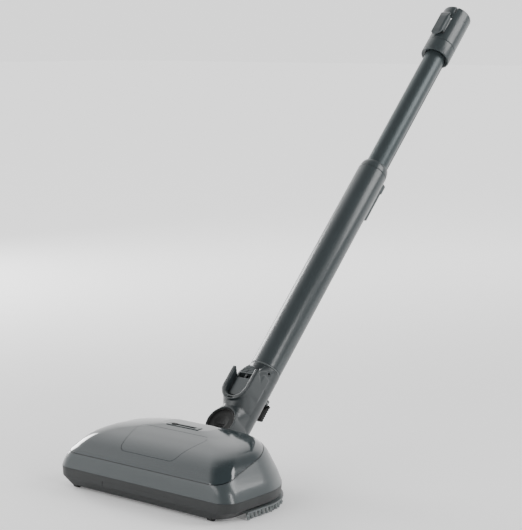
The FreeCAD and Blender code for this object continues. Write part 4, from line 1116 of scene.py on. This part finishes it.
def hang_softboxes(scene, key):
    """Rectangular softboxes that face the product."""
    for name, place, size, share in SOFTBOXES:
        light = bpy.data.lights.new(name, "AREA")
        light.shape = "RECTANGLE"
        light.size, light.size_y = size
        light.energy = key * share
        lamp = bpy.data.objects.new(name, light)
        lamp.location = place
        facing = Vector(SOFTBOX_AIM) - lamp.location
        lamp.rotation_euler = facing.to_track_quat("-Z", "Y").to_euler()
        scene.collection.objects.link(lamp)


def set_camera(scene):
    """A long lens that looks down on the product a little from its front right."""
    azimuth, elevation = math.radians(CAMERA_AZIMUTH), math.radians(CAMERA_ELEVATION)
    forward = Vector((-math.sin(azimuth) * math.cos(elevation),
                      math.cos(azimuth) * math.cos(elevation), -math.sin(elevation)))
    right = Vector((math.cos(azimuth), math.sin(azimuth), 0))
    up = right.cross(forward)
    data = bpy.data.cameras.new("camera")
    data.sensor_width = CAMERA_SENSOR
    data.lens = CAMERA_LENS
    camera = bpy.data.objects.new("camera", data)
    x, y, z = CAMERA_FROM_HEAD
    spot = Vector((x, y + HEAD_REAR, z))
    turn = Matrix((right, up, -forward)).transposed().to_4x4()
    camera.matrix_world = Matrix.Translation(spot) @ turn
    scene.collection.objects.link(camera)
    scene.camera = camera


class MESH_OT_stage(bpy.types.Operator):
    """Pale floor, soft studio light and the camera"""
    bl_idname = "mesh.power_head_stage"
    bl_label = "Stage"

    def execute(self, context):
        settings = context.scene.power_head_stage
        lay_floor(settings)
        light_room(context.scene)
        hang_softboxes(context.scene, settings.key)
        set_camera(context.scene)
        return {"FINISHED"}


class VIEW3D_PT_power_head(bpy.types.Panel):
    """Lists the pieces of the power head"""
    bl_label = "Power head"
    bl_space_type = "VIEW_3D"
    bl_region_type = "UI"
    bl_category = "Floor care"

    def draw(self, context):
        for operator in OPERATORS:
            self.layout.operator(operator.bl_idname)
        for group in GROUPS:
            settings = getattr(context.scene, group)
            for prop in settings.bl_rna.properties:
                if prop.identifier not in ("rna_type", "name"):
                    self.layout.prop(settings, prop.identifier)


OPERATORS = (MESH_OT_finishes, MESH_OT_covers, MESH_OT_brushes, MESH_OT_neck, MESH_OT_wand,
             MESH_OT_carried, MESH_OT_stage)
GROUPS = {"power_head_finishes": FinishSettings, "power_head_covers": CoverSettings,
          "power_head_brushes": BrushSettings, "power_head_wand": WandSettings,
          "power_head_stage": StageSettings}


def register():
    for group, kind in GROUPS.items():
        bpy.utils.register_class(kind)
        setattr(bpy.types.Scene, group, bpy.props.PointerProperty(type=kind))
    for kind in OPERATORS + (VIEW3D_PT_power_head,):
        bpy.utils.register_class(kind)


def unregister():
    for kind in reversed(OPERATORS + (VIEW3D_PT_power_head,)):
        bpy.utils.unregister_class(kind)
    for group, kind in GROUPS.items():
        delattr(bpy.types.Scene, group)
        bpy.utils.unregister_class(kind)


def main():
    register()
    bpy.ops.mesh.power_head_finishes()
    bpy.ops.mesh.power_head_covers()
    bpy.ops.mesh.power_head_brushes()
    bpy.ops.mesh.power_head_neck()
    bpy.ops.mesh.power_head_wand()
    bpy.ops.mesh.power_head_carried()
    bpy.ops.mesh.power_head_stage()


if __name__ == "__main__":
    main()
